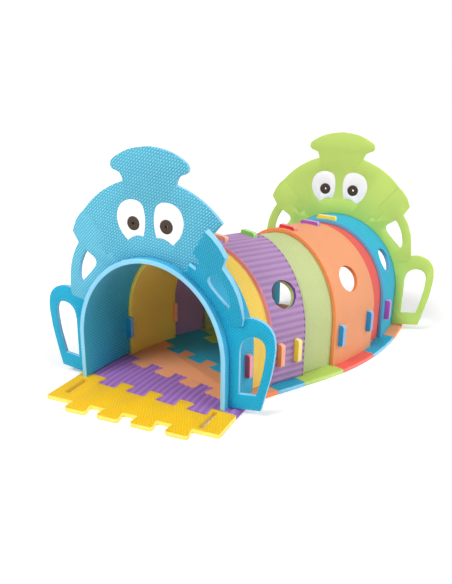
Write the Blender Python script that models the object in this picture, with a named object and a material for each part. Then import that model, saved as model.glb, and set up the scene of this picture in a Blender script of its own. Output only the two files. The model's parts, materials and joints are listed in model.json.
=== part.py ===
"""Foam play tunnel: arched sheets on wedge floor tiles, held by pegs, with a face panel at each end.

Metres, +Z up. The origin is on the ground under the middle of the front face panel's front side.
The tunnel leaves the front face towards +Y, swings to +X and comes back parallel to where it began.
"""
import math

import bmesh
import bpy
from mathutils import Matrix, Vector
from mathutils.geometry import delaunay_2d_cdt

# Foam and fits
FOAM = 0.014             # thickness of every sheet, panel, tile and peg
FIT = 0.0003             # gap where one piece rests on or fits into another
SHEET_PLAY = 0.0008      # gap between an inner arch sheet and the outer one round it
SLOT_PLAY = 0.0005       # gap on each side of a foot tab in its floor slot
PANEL_PLAY = 0.0005      # gap between a face panel's opening and its sleeve

# Route of the tunnel over the ground, measured along its middle line
SWING = math.radians(31.9)   # heading in the middle of the tunnel
SWING_IN = 0.352             # length over which the heading grows from nought
SWING_RUN = 0.160            # length that holds the full heading
SWING_OUT = 0.432            # length over which the heading goes back to nought
ROUTE_STEP = 0.050           # length of one straight step of the route

# Cross-section of the outer arch sheets, outside measures
HALF_WIDTH = 0.2475      # at the two face panels
LEG = 0.154              # straight height of each side
CROWN = 0.275            # rise of the half ellipse over the legs
BOW = 0.0145             # how much wider each side stands in the middle of the tunnel
BOW_LENGTH = 0.400       # distance from a face panel over which the sides spread
ARC_STEPS = 18           # flats round the half ellipse

# Ends of the outer arch sheets: where each edge crosses the middle line, and its plan angle
SLEEVE_OUT = 0.025       # how far an end sleeve sticks out of its face panel
FRONT_SLEEVE_REAR, FRONT_SLEEVE_ANGLE = 0.192, math.radians(16.0)
PURPLE_FRONT, PURPLE_FRONT_ANGLE = 0.268, math.radians(17.0)
PURPLE_REAR, PURPLE_REAR_ANGLE = 0.457, math.radians(30.5)
ORANGE_FRONT, ORANGE_FRONT_ANGLE = 0.571, math.radians(27.0)
ORANGE_REAR, ORANGE_REAR_ANGLE = 0.744, math.radians(14.0)
REAR_SLEEVE_FRONT, REAR_SLEEVE_ANGLE = 0.812, math.radians(7.0)

# Pegs
PEG_LENGTH = 0.075       # along the arch
PEG_HEAD = 0.020         # stands out of the outer sheet
PEG_TAIL = 0.008         # stands out of the inner sheet, inside the tunnel
TOP_PEG_PUSH = 0.008     # how much deeper the top pegs are pushed in
PEG_CORNER = 0.009       # rounding of a peg's corners
SLEEVE_PEG_INSET = 0.050  # peg centre ahead of the front sleeve's rear edge
PURPLE_PEG_INSET = 0.042  # peg centre behind the purple sheet's front edge
FRONT_PEG_INSET = 0.019   # peg centre behind the other front edges
REAR_PEG_INSET = 0.034    # peg centre ahead of the other rear edges
PEG_LAND = 0.016         # how far an inner sheet reaches past its pegs
PEG_CORNER_STEPS = 5     # flats round each corner of a peg

# Round windows
WINDOW_RADIUS = 0.045
WINDOW_RISE = math.radians(30.0)   # how far round the half ellipse a window sits
WINDOW_STEPS = 16
PURPLE_WINDOW = 0.400    # station of each pair of windows
ORANGE_WINDOW = 0.646
REAR_WINDOW = 0.881

# Floor tiles
FLOOR_START = -0.155     # station of the first joint line
TILE_LENGTH = 0.141      # along the route
JOINT_ANGLES = (-3.0, 3.0, 14.0, 19.0, 26.0, 21.0, 13.0, 3.0, -2.0)  # plan angle of each joint line
RIGHT_LEDGE = 0.038      # how far the floor reaches past the arch on each side
LEFT_LEDGE = 0.020
TOOTH_WIDTH = 0.062
TOOTH_DEPTH = 0.040
TOOTH_FLARE = 0.003      # how much wider a tooth is on each side at its tip
TOOTH_CORNER = 0.007
TOOTH_COUNT = 4
LEFT_TOOTH_INSET = 0.1025   # centre of the outermost teeth in from the side of the sleeve
RIGHT_TOOTH_INSET = 0.0695
SLOT_INSET = 0.0245      # foot slot in from each end of its tile
TAB_FROM_END = 0.004     # least distance from a foot tab to the end of its sheet
SHORTEST_TAB = 0.030

# Face panels: outline of the right half, from the middle line outwards
DOME_RADIUS = 0.290
DOME_CENTRE = 0.3595     # height of the dome circle's centre
NECK = 0.084             # half width of the neck where it leaves the dome
SEAM_TOP = 0.222         # half width at which the head's side seam meets the dome
PUPIL_PLACE = (0.0535, 0.521)
PUPIL_RADIUS = 0.0205
PUPIL_HOLE = 0.0045
HEAD_ARC_END = math.radians(64.5)  # where the head's lower edge ends on the half ellipse
HAND_SEAM_ARC = math.radians(22.6)  # where the hand's seam meets the opening
OUTLINE_STEPS = 2        # points per span of a smooth outline

# The front face's right shoulder has sprung forward out of its seam
SPRING_FORWARD = 0.098   # at its far corner
SPRING_START = (0.100, 0.360)      # two points of the line on the panel where the spring begins
SPRING_END = (0.300, 0.220)
SPRING_REACH = 0.222     # distance from that line to the far corner
SPRING_CURL = 1.5        # 1 leans flat from the line, 2 bends evenly all the way
SPRING_BANDS = 8

CREST = [(0.0, 0.734), (0.036, 0.730), (0.068, 0.722), (0.096, 0.709), (0.117, 0.695), (0.123, 0.681),
         (0.117, 0.669), (0.104, 0.664), (0.093, 0.658), (0.087, 0.648)]
# The head's seam, from the point where its lower edge ends
SEAM = [(0.0052, 0.0023), (0.0172, 0.0083), (0.0242, 0.0273), (0.0452, 0.0133), (0.0662, 0.0453),
        (0.0492, 0.0693)]
# The next outlines give the distance out from the side of the sleeve, and the height
WRIST = (0.045, 0.294)
SHOULDER = [(-0.0085, 0.531), (0.008, 0.509), (0.0215, 0.477)]
ARM = [(0.002, 0.444), (0.0185, 0.417), (0.031, 0.386), (0.039, 0.352), WRIST]
HAND_SEAM_CORNER = (0.0405, 0.273)
HAND = [WRIST, (0.0725, 0.298), (0.1065, 0.287), (0.1275, 0.262), (0.1345, 0.226), (0.1315, 0.180),
        (0.1225, 0.125), (0.0985, 0.026)]
EAR_HOLE = [(-0.0285, 0.420), (-0.0585, 0.388), (-0.0045, 0.325), (0.0045, 0.324), (0.0085, 0.340),
            (0.0035, 0.372), (-0.0085, 0.401), (-0.0215, 0.421)]
HAND_HOLE = [(0.0835, 0.070), (0.0995, 0.134), (0.1075, 0.190), (0.1065, 0.222), (0.0955, 0.240),
             (0.0745, 0.246), (0.0525, 0.240), (0.0365, 0.222), (0.0305, 0.195), (0.0305, 0.064)]
EYE_ROUND = [(0.021, 0.487), (0.0145, 0.517), (0.015, 0.550), (0.024, 0.577), (0.047, 0.588),
             (0.077, 0.584), (0.099, 0.566), (0.108, 0.534), (0.098, 0.499), (0.074, 0.471)]
EYE_LID = [(0.074, 0.471), (0.047, 0.486), (0.021, 0.487)]

COLOURS = {
    "blue": (0.03, 0.40, 0.68), "sky": (0.10, 0.52, 0.78), "yellow": (0.95, 0.72, 0.06),
    "purple": (0.38, 0.20, 0.48), "lime": (0.50, 0.72, 0.16), "orange": (0.93, 0.36, 0.13),
    "red": (0.85, 0.12, 0.13), "green": (0.42, 0.65, 0.10), "white": (0.90, 0.90, 0.90),
    "brown": (0.06, 0.04, 0.025), "cyan": (0.05, 0.50, 0.75), "rose": (0.85, 0.10, 0.20),
}

ROUTE_LENGTH = SWING_IN + SWING_RUN + SWING_OUT
TILE_COUNT = len(JOINT_ANGLES) - 1
RIGHT, LEFT, TOP = "right", "left", "top"


def clear_scene():
    for item in list(bpy.data.objects):
        bpy.data.objects.remove(item)


def material(colour):
    name = "foam_" + colour
    found = bpy.data.materials.get(name)
    if found:
        return found
    made = bpy.data.materials.new(name)
    made.use_nodes = True
    shader = made.node_tree.nodes["Principled BSDF"]
    shader.inputs["Base Color"].default_value = (*COLOURS[colour], 1.0)
    shader.inputs["Roughness"].default_value = 0.7
    shader.inputs["Metallic"].default_value = 0.0
    return made


def add_object(name, bm, colour, place=None):
    bm.normal_update()
    bmesh.ops.recalc_face_normals(bm, faces=bm.faces)
    mesh = bpy.data.meshes.new(name)
    bm.to_mesh(mesh)
    bm.free()
    mesh.materials.append(material(colour))
    mesh.shade_smooth()
    mesh.set_sharp_from_angle(angle=math.radians(30.0))
    item = bpy.data.objects.new(name, mesh)
    if place:
        item.matrix_world = place
    bpy.context.scene.collection.objects.link(item)
    return item


# Route and cross-section

def heading(station):
    if station <= 0.0 or station >= ROUTE_LENGTH:
        return 0.0
    if station < SWING_IN:
        return SWING * station / SWING_IN
    if station < SWING_IN + SWING_RUN:
        return SWING
    return SWING * (ROUTE_LENGTH - station) / SWING_OUT


def ease(value):
    value = min(max(value, 0.0), 1.0)
    return value * value * (3.0 - 2.0 * value)


def bow(station):
    return BOW * ease(station / BOW_LENGTH) * ease((ROUTE_LENGTH - station) / BOW_LENGTH)


def step_station(number):
    """Station of a whole step. The steps lie so that each face panel has a straight one under it."""
    return (number - 0.5) * ROUTE_STEP


def steps_between(low, high):
    """Numbers of the whole steps strictly between two stations."""
    first = math.floor(low / ROUTE_STEP + 0.5) + 1
    return list(range(first, math.ceil(high / ROUTE_STEP + 0.5)))


def route_points():
    """Points of the middle line at the whole steps, by step number."""
    points = {0: Vector((0.0, step_station(0)))}
    for number in range(math.ceil(ROUTE_LENGTH / ROUTE_STEP) + 4):
        angle = heading(number * ROUTE_STEP)
        points[number + 1] = points[number] + Vector((math.sin(angle), math.cos(angle))) * ROUTE_STEP
    for number in range(0, -6, -1):
        points[number - 1] = points[number] - Vector((0.0, ROUTE_STEP))
    return points


ROUTE = route_points()


def on_step(number, side_offset, height):
    """A point at one whole step of the route, side_offset to the right of the middle line."""
    angle = heading(step_station(number))
    middle = ROUTE[number]
    return Vector((middle.x + side_offset * math.cos(angle), middle.y - side_offset * math.sin(angle), height))


def between_steps(station, point_at):
    """Straight interpolation of point_at(step number) between the two steps round a station."""
    number = math.floor(station / ROUTE_STEP + 0.5)
    share = (station - step_station(number)) / ROUTE_STEP
    return point_at(number).lerp(point_at(number + 1), share)


def route_point(station, side_offset=0.0, height=0.0):
    return between_steps(station, lambda number: on_step(number, side_offset, height))


def section(number, turn, depth, foot):
    """Side offset and height at one step. turn is a side name, or an angle round the half ellipse."""
    half = HALF_WIDTH + bow(step_station(number))
    if turn == RIGHT:
        return half - depth, foot
    if turn == LEFT:
        return depth - half, foot
    across, up = math.cos(turn), math.sin(turn)
    normal = Vector((across / half, up / CROWN)).normalized()
    return half * across - depth * normal.x, LEG + CROWN * up - depth * normal.y


def arch_point(station, turn, depth, foot=0.0):
    """A point of the arch, depth below the outer sheets' outer side."""
    return between_steps(station, lambda number: on_step(number, *section(number, turn, depth, foot)))


def edge_station(station, angle, side_offset):
    """Where an edge that crosses the middle line at a station reaches side_offset."""
    found = station
    for _ in range(12):
        found = station - side_offset * math.sin(angle - heading(found))
    return found


# Flat panels

def smooth_outline(points):
    """A smooth open line through the points."""
    line = []
    count = len(points)
    for index in range(count - 1):
        before = Vector(points[max(index - 1, 0)])
        start, end = Vector(points[index]), Vector(points[index + 1])
        after = Vector(points[min(index + 2, count - 1)])
        for part in range(OUTLINE_STEPS):
            t = part / OUTLINE_STEPS
            line.append(0.5 * (2.0 * start + (end - before) * t
                               + (2.0 * before - 5.0 * start + 4.0 * end - after) * t * t
                               + (3.0 * start - before - 3.0 * end + after) * t ** 3))
    line.append(Vector(points[-1]))
    return line


def shift_line(points, distance):
    """The open line moved to its left by a distance, with mitred corners."""
    points = [Vector(point) for point in points]
    normals = []
    for start, end in zip(points, points[1:]):
        along = (end - start).normalized()
        normals.append(Vector((-along.y, along.x)))
    moved = []
    for index, point in enumerate(points):
        before = normals[max(index - 1, 0)]
        after = normals[min(index, len(normals) - 1)]
        mitre = (before + after).normalized()
        moved.append(point + mitre * (distance / max(mitre.dot(after), 0.3)))
    return moved


def shift_loop(points, distance):
    """The closed counter-clockwise loop moved inwards by a distance."""
    closed = [points[-1]] + list(points) + [points[0]]
    return shift_line(closed, distance)[1:-1]


def circle(centre, radius, steps):
    return [Vector((centre[0] + radius * math.cos(2.0 * math.pi * index / steps),
                    centre[1] + radius * math.sin(2.0 * math.pi * index / steps)))
            for index in range(steps)]


def flip(points):
    return [Vector((-point[0], point[1])) for point in reversed(list(points))]


def is_inside(point, edges):
    """Whether a point lies inside closed loops, counting a hole's inside as outside."""
    inside = False
    for x1, y1, x2, y2 in edges:
        if (y1 > point.y) != (y2 > point.y) and point.x < x1 + (point.y - y1) * (x2 - x1) / (y2 - y1):
            inside = not inside
    return inside


def flat_plate(outline, holes):
    """A plate of foam thickness over the flat outline, with holes through it."""
    points, edges = [], []
    for loop in [outline] + list(holes):
        first, count = len(points), len(loop)
        points += [Vector((point[0], point[1])) for point in loop]
        edges += [(first + index, first + (index + 1) % count) for index in range(count)]
    inside_the_edges = 1
    corners, _, faces, _, _, _ = delaunay_2d_cdt(points, edges, [], inside_the_edges, 1e-7)
    sides = [(*points[start], *points[end]) for start, end in edges]
    bm = bmesh.new()
    verts = [bm.verts.new((corner[0], corner[1], 0.0)) for corner in corners]
    for numbers in faces:
        middle = sum((corners[number] for number in numbers), Vector((0.0, 0.0))) / len(numbers)
        if is_inside(middle, sides):
            bm.faces.new([verts[number] for number in numbers])
    made = bmesh.ops.extrude_face_region(bm, geom=list(bm.faces))
    raised = [item for item in made["geom"] if isinstance(item, bmesh.types.BMVert)]
    bmesh.ops.translate(bm, verts=raised, vec=(0.0, 0.0, FOAM))
    return bm


# Face panels

def opening_point(turn):
    """A point of a face panel's opening at an angle round the half ellipse."""
    return Vector(((HALF_WIDTH + PANEL_PLAY) * math.cos(turn), LEG + (CROWN + PANEL_PLAY) * math.sin(turn)))


def opening_arc(start, end):
    """Points of the opening strictly between two angles, one over each bend of the sleeve."""
    flat = math.pi / ARC_STEPS
    return [opening_point(index * flat) for index in range(ARC_STEPS + 1) if start < index * flat < end]


def dome_arc(start_x, end_x, steps):
    start = math.acos(start_x / DOME_RADIUS)
    end = math.acos(end_x / DOME_RADIUS)
    line = []
    for index in range(steps + 1):
        turn = start + (end - start) * index / steps
        line.append(Vector((DOME_RADIUS * math.cos(turn), DOME_CENTRE + DOME_RADIUS * math.sin(turn))))
    return line


def head_seam():
    """The head's right seam, from its lower edge to the dome."""
    foot = opening_point(HEAD_ARC_END)
    return [foot] + [foot + Vector(point) for point in SEAM]


def beside_sleeve(points):
    """Points given outwards from the side of the sleeve, as points of the panel."""
    return [Vector((HALF_WIDTH + out, height)) for out, height in points]


def head_outline():
    right = head_seam()
    right += dome_arc(SEAM_TOP, NECK, 6)
    right += list(reversed(smooth_outline(CREST)))[0:-1]
    lower = list(reversed(opening_arc(HEAD_ARC_END, math.pi - HEAD_ARC_END)))
    return right + [Vector(CREST[0])] + flip(right) + lower


def shoulder_outline():
    """The right shoulder, clear of the head's seam by the fit."""
    seam = shift_line(head_seam() + dome_arc(SEAM_TOP, SEAM_TOP, 1)[0:1], -FIT)
    inner = [opening_point(HAND_SEAM_ARC)] + opening_arc(HAND_SEAM_ARC, HEAD_ARC_END)
    outer = beside_sleeve(SHOULDER) + smooth_outline(beside_sleeve(ARM))
    return inner + seam + outer + beside_sleeve([HAND_SEAM_CORNER])


def hand_outline():
    """The right hand, clear of the shoulder's seam by the fit."""
    seam = shift_line(beside_sleeve([WRIST, HAND_SEAM_CORNER]) + [opening_point(HAND_SEAM_ARC)], FIT)
    inner = [opening_point(0.0)] + opening_arc(0.0, HAND_SEAM_ARC)
    foot = Vector((HALF_WIDTH + PANEL_PLAY, FOAM + FIT))
    outer = smooth_outline(beside_sleeve(HAND))[1:]
    return [seam[2]] + list(reversed(inner)) + [foot] + list(reversed(outer)) + seam[0:2]


def hand_hole():
    corners = beside_sleeve(HAND_HOLE)
    return smooth_outline(corners[:-1]) + corners[-1:]


def eye_outline():
    return list(reversed(smooth_outline(EYE_ROUND)[:-1] + smooth_outline(EYE_LID)[:-1]))


def spring_outward():
    """Direction on the panel in which it springs forward more and more."""
    along = (Vector(SPRING_END) - Vector(SPRING_START)).normalized()
    return Vector((-along.y, along.x))


def sprung_point(point, depth):
    """A point of the sprung shoulder at a depth under its front side: across, back and up.

    Its thickness leans with the bend once it is clear of the panel.
    """
    outward = spring_outward()
    share = max((point - Vector(SPRING_START)).dot(outward), 0.0) / SPRING_REACH
    forward = SPRING_FORWARD * share ** SPRING_CURL
    slope = SPRING_CURL * SPRING_FORWARD / SPRING_REACH * share ** (SPRING_CURL - 1.0)
    lean = math.atan(slope) * ease(forward / FOAM - 1.0)
    aside = outward * (depth * math.sin(lean))
    return Vector((point.x + aside.x, depth * math.cos(lean) - forward, point.y + aside.y))


def cut_bands(bm):
    """Cuts the flat plate across in bands, so that it can bend."""
    outward = spring_outward()
    for number in range(SPRING_BANDS):
        point = Vector(SPRING_START) + outward * (SPRING_REACH * number / SPRING_BANDS)
        geometry = list(bm.verts) + list(bm.edges) + list(bm.faces)
        bmesh.ops.bisect_plane(bm, geom=geometry, dist=1e-6, plane_co=(point.x, point.y, 0.0),
                               plane_no=(outward.x, outward.y, 0.0))


def face_piece(name, outline, holes, colour, station, side=1, sprung=False):
    """A panel piece, cut flat and then stood upright across the route at a station."""
    bm = flat_plate(outline, holes)
    if sprung:
        cut_bands(bm)
    middle = route_point(station)
    for vertex in bm.verts:
        across, back, up = vertex.co.x, vertex.co.z, vertex.co.y
        if sprung:
            across, back, up = sprung_point(vertex.co.xy, vertex.co.z)
        vertex.co = (middle.x + side * across, middle.y + back, up)
    return add_object(name, bm, colour)


def face(end, colour, station, sprung_side=None):
    """One end's face: head, two shoulders, two hands, two eye whites and two pupils."""
    eye = eye_outline()
    white = shift_loop(eye, FIT)
    socket = circle(PUPIL_PLACE, PUPIL_RADIUS, 16)
    pupil = circle(PUPIL_PLACE, PUPIL_RADIUS - FIT, 16)
    face_piece(end + "_head", head_outline(), [eye, flip(eye)], colour, station)
    for side, word in ((1, RIGHT), (-1, LEFT)):
        sprung = word == sprung_side
        face_piece(f"{end}_{word}_shoulder", shoulder_outline(), [beside_sleeve(EAR_HOLE)], colour, station, side, sprung)
        face_piece(f"{end}_{word}_hand", hand_outline(), [hand_hole()], colour, station, side)
        face_piece(f"{end}_{word}_eye", white, [socket], "white", station, side)
        face_piece(f"{end}_{word}_pupil", pupil, [circle(PUPIL_PLACE, PUPIL_HOLE, 8)], "brown", station, side)


# Arch sheets

OUTER = 0.0
INNER = FOAM + SHEET_PLAY


def sheet_turns():
    """The columns of an arch sheet, from its right foot over the crown to its left foot."""
    return [RIGHT] + [math.pi * index / ARC_STEPS for index in range(ARC_STEPS + 1)] + [LEFT]


def tile_joint(number):
    """Station and plan angle of the joint line ahead of a tile, counted from nought."""
    return FLOOR_START + TILE_LENGTH * number, math.radians(JOINT_ANGLES[number])


def slot_span(number, side):
    """First and last station of a tile's foot slot on one side, 1 for right and -1 for left."""
    reach = HALF_WIDTH - INNER - FOAM / 2.0
    ends = [edge_station(*tile_joint(index), side * reach) for index in (number, number + 1)]
    middle = sum(ends) / 2.0
    stretch = 1.0 - side * reach * (heading(ends[1]) - heading(ends[0])) / (ends[1] - ends[0])
    half = (TILE_LENGTH / 2.0 - SLOT_INSET) / stretch
    return middle - half, middle + half


def foot_tabs(first, last, side):
    """Tile number and span of each foot tab of an inner sheet, which stands in that tile's slot."""
    spans = []
    for number in range(TILE_COUNT):
        slot_start, slot_end = slot_span(number, side)
        start = max(slot_start + SLOT_PLAY, first + TAB_FROM_END)
        end = min(slot_end - SLOT_PLAY, last - TAB_FROM_END)
        if end - start > SHORTEST_TAB:
            spans.append((number, start, end))
    return spans


def sheet_reach(station, angle):
    """How far along the route the ends of a slanted edge reach to either side of its middle."""
    return abs(HALF_WIDTH * math.sin(angle - heading(station))) + ROUTE_STEP / 2.0


def arch_sheet(name, depth, front, rear, colour):
    """One bent sheet. front and rear are (station, plan angle) of its two straight edges."""
    ends = {}
    for side in (1, -1):
        ends[side] = (edge_station(*front, side * HALF_WIDTH), edge_station(*rear, side * HALF_WIDTH))
    low = front[0] - sheet_reach(*front)
    high = rear[0] + sheet_reach(*rear)
    tabs = {side: foot_tabs(*ends[side], side) if depth == INNER else [] for side in (1, -1)}
    stations = {low, high}
    stations.update(step_station(number) for number in steps_between(low, high))
    for spans in tabs.values():
        for span in spans:
            stations.update(span[1:])
    stations = sorted(stations)
    turns = sheet_turns()
    foot = FOAM + FIT
    bm = bmesh.new()
    grid = {}
    for row, station in enumerate(stations):
        for column, turn in enumerate(turns):
            for face_side, below in enumerate((depth, depth + FOAM)):
                grid[row, column, face_side] = bm.verts.new(arch_point(station, turn, below, foot))
    last_row, last_column = len(stations) - 1, len(turns) - 1
    tabbed = []
    for row in range(last_row):
        for column in range(last_column):
            for face_side in (0, 1):
                bm.faces.new([grid[row + i, column + j, face_side] for i, j in ((0, 0), (1, 0), (1, 1), (0, 1))])
        for column in (0, last_column):
            under = bm.faces.new([grid[row + i, column, k] for i, k in ((0, 0), (1, 0), (1, 1), (0, 1))])
            side = 1 if column == 0 else -1
            middle = (stations[row] + stations[row + 1]) / 2.0
            if any(start < middle < end for _, start, end in tabs[side]):
                tabbed.append(under)
    for column in range(last_column):
        for row in (0, last_row):
            bm.faces.new([grid[row, column + j, k] for j, k in ((0, 0), (1, 0), (1, 1), (0, 1))])
    if tabbed:
        made = bmesh.ops.extrude_face_region(bm, geom=tabbed)
        lowered = [item for item in made["geom"] if isinstance(item, bmesh.types.BMVert)]
        bmesh.ops.translate(bm, verts=lowered, vec=(0.0, 0.0, -FOAM))
        bmesh.ops.delete(bm, geom=[one for one in tabbed if one.is_valid], context="FACES_ONLY")
    for (station, angle), outward in ((front, -1.0), (rear, 1.0)):
        cut_end(bm, station, angle, outward)
    return add_object(name, bm, colour)


def cut_end(bm, station, angle, outward):
    """Cuts an arch sheet off along an upright plane across the route and closes the cut."""
    normal = (outward * math.sin(angle), outward * math.cos(angle), 0.0)
    geometry = list(bm.verts) + list(bm.edges) + list(bm.faces)
    made = bmesh.ops.bisect_plane(bm, geom=geometry, dist=1e-6, plane_co=route_point(station),
                                  plane_no=normal, clear_outer=True)
    cut = [item for item in made["geom_cut"] if isinstance(item, bmesh.types.BMEdge)]
    bmesh.ops.holes_fill(bm, edges=cut, sides=0)


# Pegs and windows, which are cut through every sheet they pass

def seat(station, turn, height=0.0):
    """Frame on the outer sheet's flat there: X along the arch, Y along the tunnel, Z outwards."""
    number = math.floor(station / ROUTE_STEP + 0.5)
    ends = [on_step(index, *section(index, turn, OUTER, height)) for index in (number, number + 1)]
    point = arch_point(station, turn, OUTER, height)
    ahead = (ends[1] - ends[0]).normalized()
    outward = point - arch_point(station, turn, FOAM, height)
    outward = (outward - ahead * outward.dot(ahead)).normalized()
    frame = Matrix((ahead.cross(outward), ahead, outward)).transposed().to_4x4()
    frame.translation = point
    return frame


def peg_slot():
    """Corners of the slot that a peg passes through."""
    long, wide = PEG_LENGTH / 2.0 + FIT, FOAM / 2.0 + FIT
    return [(long, -wide), (long, wide), (-long, wide), (-long, -wide)]


def peg_outline(push):
    """A peg as it is cut from a sheet: along the arch and outwards, with rounded corners."""
    half = PEG_LENGTH / 2.0 - PEG_CORNER
    inner, outer = PEG_CORNER - PEG_DEPTH - push, PEG_HEAD - push - PEG_CORNER
    loop = []
    for quarter, (x, y) in enumerate(((half, outer), (-half, outer), (-half, inner), (half, inner))):
        for index in range(PEG_CORNER_STEPS + 1):
            turn = math.pi / 2.0 * (quarter + index / PEG_CORNER_STEPS)
            loop.append((x + PEG_CORNER * math.cos(turn), y + PEG_CORNER * math.sin(turn)))
    return loop


def prism(bm, loop, low, high, place=None):
    """Adds an upright prism over a loop to the mesh."""
    place = place or Matrix()
    rings = [[bm.verts.new(place @ Vector((x, y, z))) for x, y in loop] for z in (low, high)]
    bm.faces.new(reversed(rings[0]))
    bm.faces.new(rings[1])
    count = len(loop)
    for index in range(count):
        after = (index + 1) % count
        bm.faces.new((rings[0][index], rings[0][after], rings[1][after], rings[1][index]))


PEG_DEPTH = 2.0 * FOAM + SHEET_PLAY + PEG_TAIL


def peg(name, frame, push, colour):
    """A peg standing across the tunnel's run, pushed in by that much more than the side pegs."""
    bm = bmesh.new()
    prism(bm, peg_outline(push), -FOAM / 2.0, FOAM / 2.0, Matrix.Rotation(math.pi / 2.0, 4, "X"))
    return add_object(name, bm, colour, frame)


def cutter(name, frames_of_pegs, frames_of_windows):
    bm = bmesh.new()
    through = FOAM * 4.0
    for frame in frames_of_pegs:
        prism(bm, peg_slot(), -through, through / 2.0, frame)
    for frame in frames_of_windows:
        prism(bm, circle((0.0, 0.0), WINDOW_RADIUS, WINDOW_STEPS), -through, through / 2.0, frame)
    item = add_object(name, bm, "white")
    item.hide_render = True
    item.display_type = "WIRE"
    return item


def cut_with(item, tool):
    cut = item.modifiers.new("openings", "BOOLEAN")
    cut.operation = "DIFFERENCE"
    cut.solver = "EXACT"
    cut.object = tool


SIDES = {RIGHT: HALF_WIDTH, TOP: 0.0, LEFT: -HALF_WIDTH}
TURNS = {RIGHT: RIGHT, TOP: math.pi / 2.0, LEFT: LEFT}


def peg_frames(edge, inset, height):
    """Seats of the three pegs of a seam, inset from an outer sheet's edge, by place."""
    return {place: seat(edge_station(*edge, SIDES[place]) + inset, TURNS[place], height) for place in SIDES}


def window_frames(station):
    return [seat(station, WINDOW_RISE), seat(station, math.pi - WINDOW_RISE)]


FRONT_SLEEVE_EDGES = ((-SLEEVE_OUT, 0.0), (FRONT_SLEEVE_REAR, FRONT_SLEEVE_ANGLE))
PURPLE_EDGES = ((PURPLE_FRONT, PURPLE_FRONT_ANGLE), (PURPLE_REAR, PURPLE_REAR_ANGLE))
ORANGE_EDGES = ((ORANGE_FRONT, ORANGE_FRONT_ANGLE), (ORANGE_REAR, ORANGE_REAR_ANGLE))
REAR_SLEEVE_EDGES = ((REAR_SLEEVE_FRONT, REAR_SLEEVE_ANGLE), (ROUTE_LENGTH + FOAM + SLEEVE_OUT, 0.0))

# Each seam: an outer sheet's edge, the pegs' inset from it along the route, the height of the middle of
# its side pegs, and colours right, top and left
SEAMS = {
    "sleeve_yellow": (FRONT_SLEEVE_EDGES[1], -SLEEVE_PEG_INSET, 0.112, ("rose", "cyan", "cyan")),
    "yellow_purple": (PURPLE_EDGES[0], PURPLE_PEG_INSET, 0.112, ("orange", "orange", "orange")),
    "purple_lime": (PURPLE_EDGES[1], -REAR_PEG_INSET, 0.114, ("yellow", "green", "yellow")),
    "lime_orange": (ORANGE_EDGES[0], FRONT_PEG_INSET, 0.119, ("sky", "red", "sky")),
    "orange_red": (ORANGE_EDGES[1], -REAR_PEG_INSET, 0.127, ("sky", "purple", "sky")),
    "red_sleeve": (REAR_SLEEVE_EDGES[0], FRONT_PEG_INSET, 0.119, ("purple", "yellow", "purple")),
}


def inner_edge(seam):
    """The hidden edge of the inner sheet at a seam, a land past the seam's pegs."""
    (station, angle), inset, _, _ = SEAMS[seam]
    return station + inset + math.copysign(PEG_LAND, inset), angle


def inner_edges():
    """Front and rear edge of each inner sheet."""
    return {
        "yellow": (inner_edge("sleeve_yellow"), inner_edge("yellow_purple")),
        "lime": (inner_edge("purple_lime"), inner_edge("lime_orange")),
        "red": (inner_edge("orange_red"), inner_edge("red_sleeve")),
    }


def build_arches():
    """The seven arch sheets, outer and inner by turns, with their pegs."""
    frames = {}
    for seam, (edge, inset, height, colours) in SEAMS.items():
        frames[seam] = peg_frames(edge, inset, height)
        for (place, frame), colour in zip(frames[seam].items(), colours):
            peg(f"peg_{seam}_{place}", frame, TOP_PEG_PUSH if place == TOP else 0.0, colour)
    windows = {"purple": window_frames(PURPLE_WINDOW), "orange": window_frames(ORANGE_WINDOW),
               "rear": window_frames(REAR_WINDOW)}
    inner = inner_edges()
    sheets = [
        ("front_sleeve", OUTER, FRONT_SLEEVE_EDGES, "blue", ("sleeve_yellow",), ()),
        ("yellow_arch", INNER, inner["yellow"], "yellow", ("sleeve_yellow", "yellow_purple"), ("purple",)),
        ("purple_arch", OUTER, PURPLE_EDGES, "purple", ("yellow_purple", "purple_lime"), ("purple",)),
        ("lime_arch", INNER, inner["lime"], "lime", ("purple_lime", "lime_orange"), ("purple", "orange")),
        ("orange_arch", OUTER, ORANGE_EDGES, "orange", ("lime_orange", "orange_red"), ("orange",)),
        ("red_arch", INNER, inner["red"], "red", ("orange_red", "red_sleeve"), ("orange", "rear")),
        ("rear_sleeve", OUTER, REAR_SLEEVE_EDGES, "blue", ("red_sleeve",), ("rear",)),
    ]
    for name, depth, edges, colour, seam_names, window_names in sheets:
        item = arch_sheet(name, depth, edges[0], edges[1], colour)
        peg_places = [frame for seam in seam_names for frame in frames[seam].values()]
        window_places = [frame for window in window_names for frame in windows[window]]
        cut_with(item, cutter("openings_of_" + name, peg_places, window_places))


# Floor tiles

def floor_reach(station, side):
    """How far the floor's edge lies from the route, positive on the right."""
    return side * (HALF_WIDTH + bow(station) + (RIGHT_LEDGE if side > 0 else LEFT_LEDGE))


def joint_corner(number, side):
    """The end of a joint line at the floor's edge."""
    station, angle = tile_joint(number)
    return side_point(edge_station(station, angle, floor_reach(station, side)), side)


def side_point(station, side):
    def at_step(number):
        return on_step(number, floor_reach(step_station(number), side), 0.0)

    return between_steps(station, at_step).xy


def tooth(place):
    """Corners of one jigsaw tooth along a joint line: distance along it and ahead of it."""
    half = TOOTH_WIDTH / 2.0
    root, tip, corner = half - TOOTH_FLARE, half + TOOTH_FLARE, TOOTH_CORNER
    left = [(-root - corner / 2.0, 0.0), (-root, corner / 2.0), (-tip, TOOTH_DEPTH - corner),
            (-tip + corner * 0.3, TOOTH_DEPTH - corner * 0.3), (-tip + corner, TOOTH_DEPTH)]
    right = [(-along, ahead) for along, ahead in reversed(left)]
    return [(place + along, ahead) for along, ahead in left + right]


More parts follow.
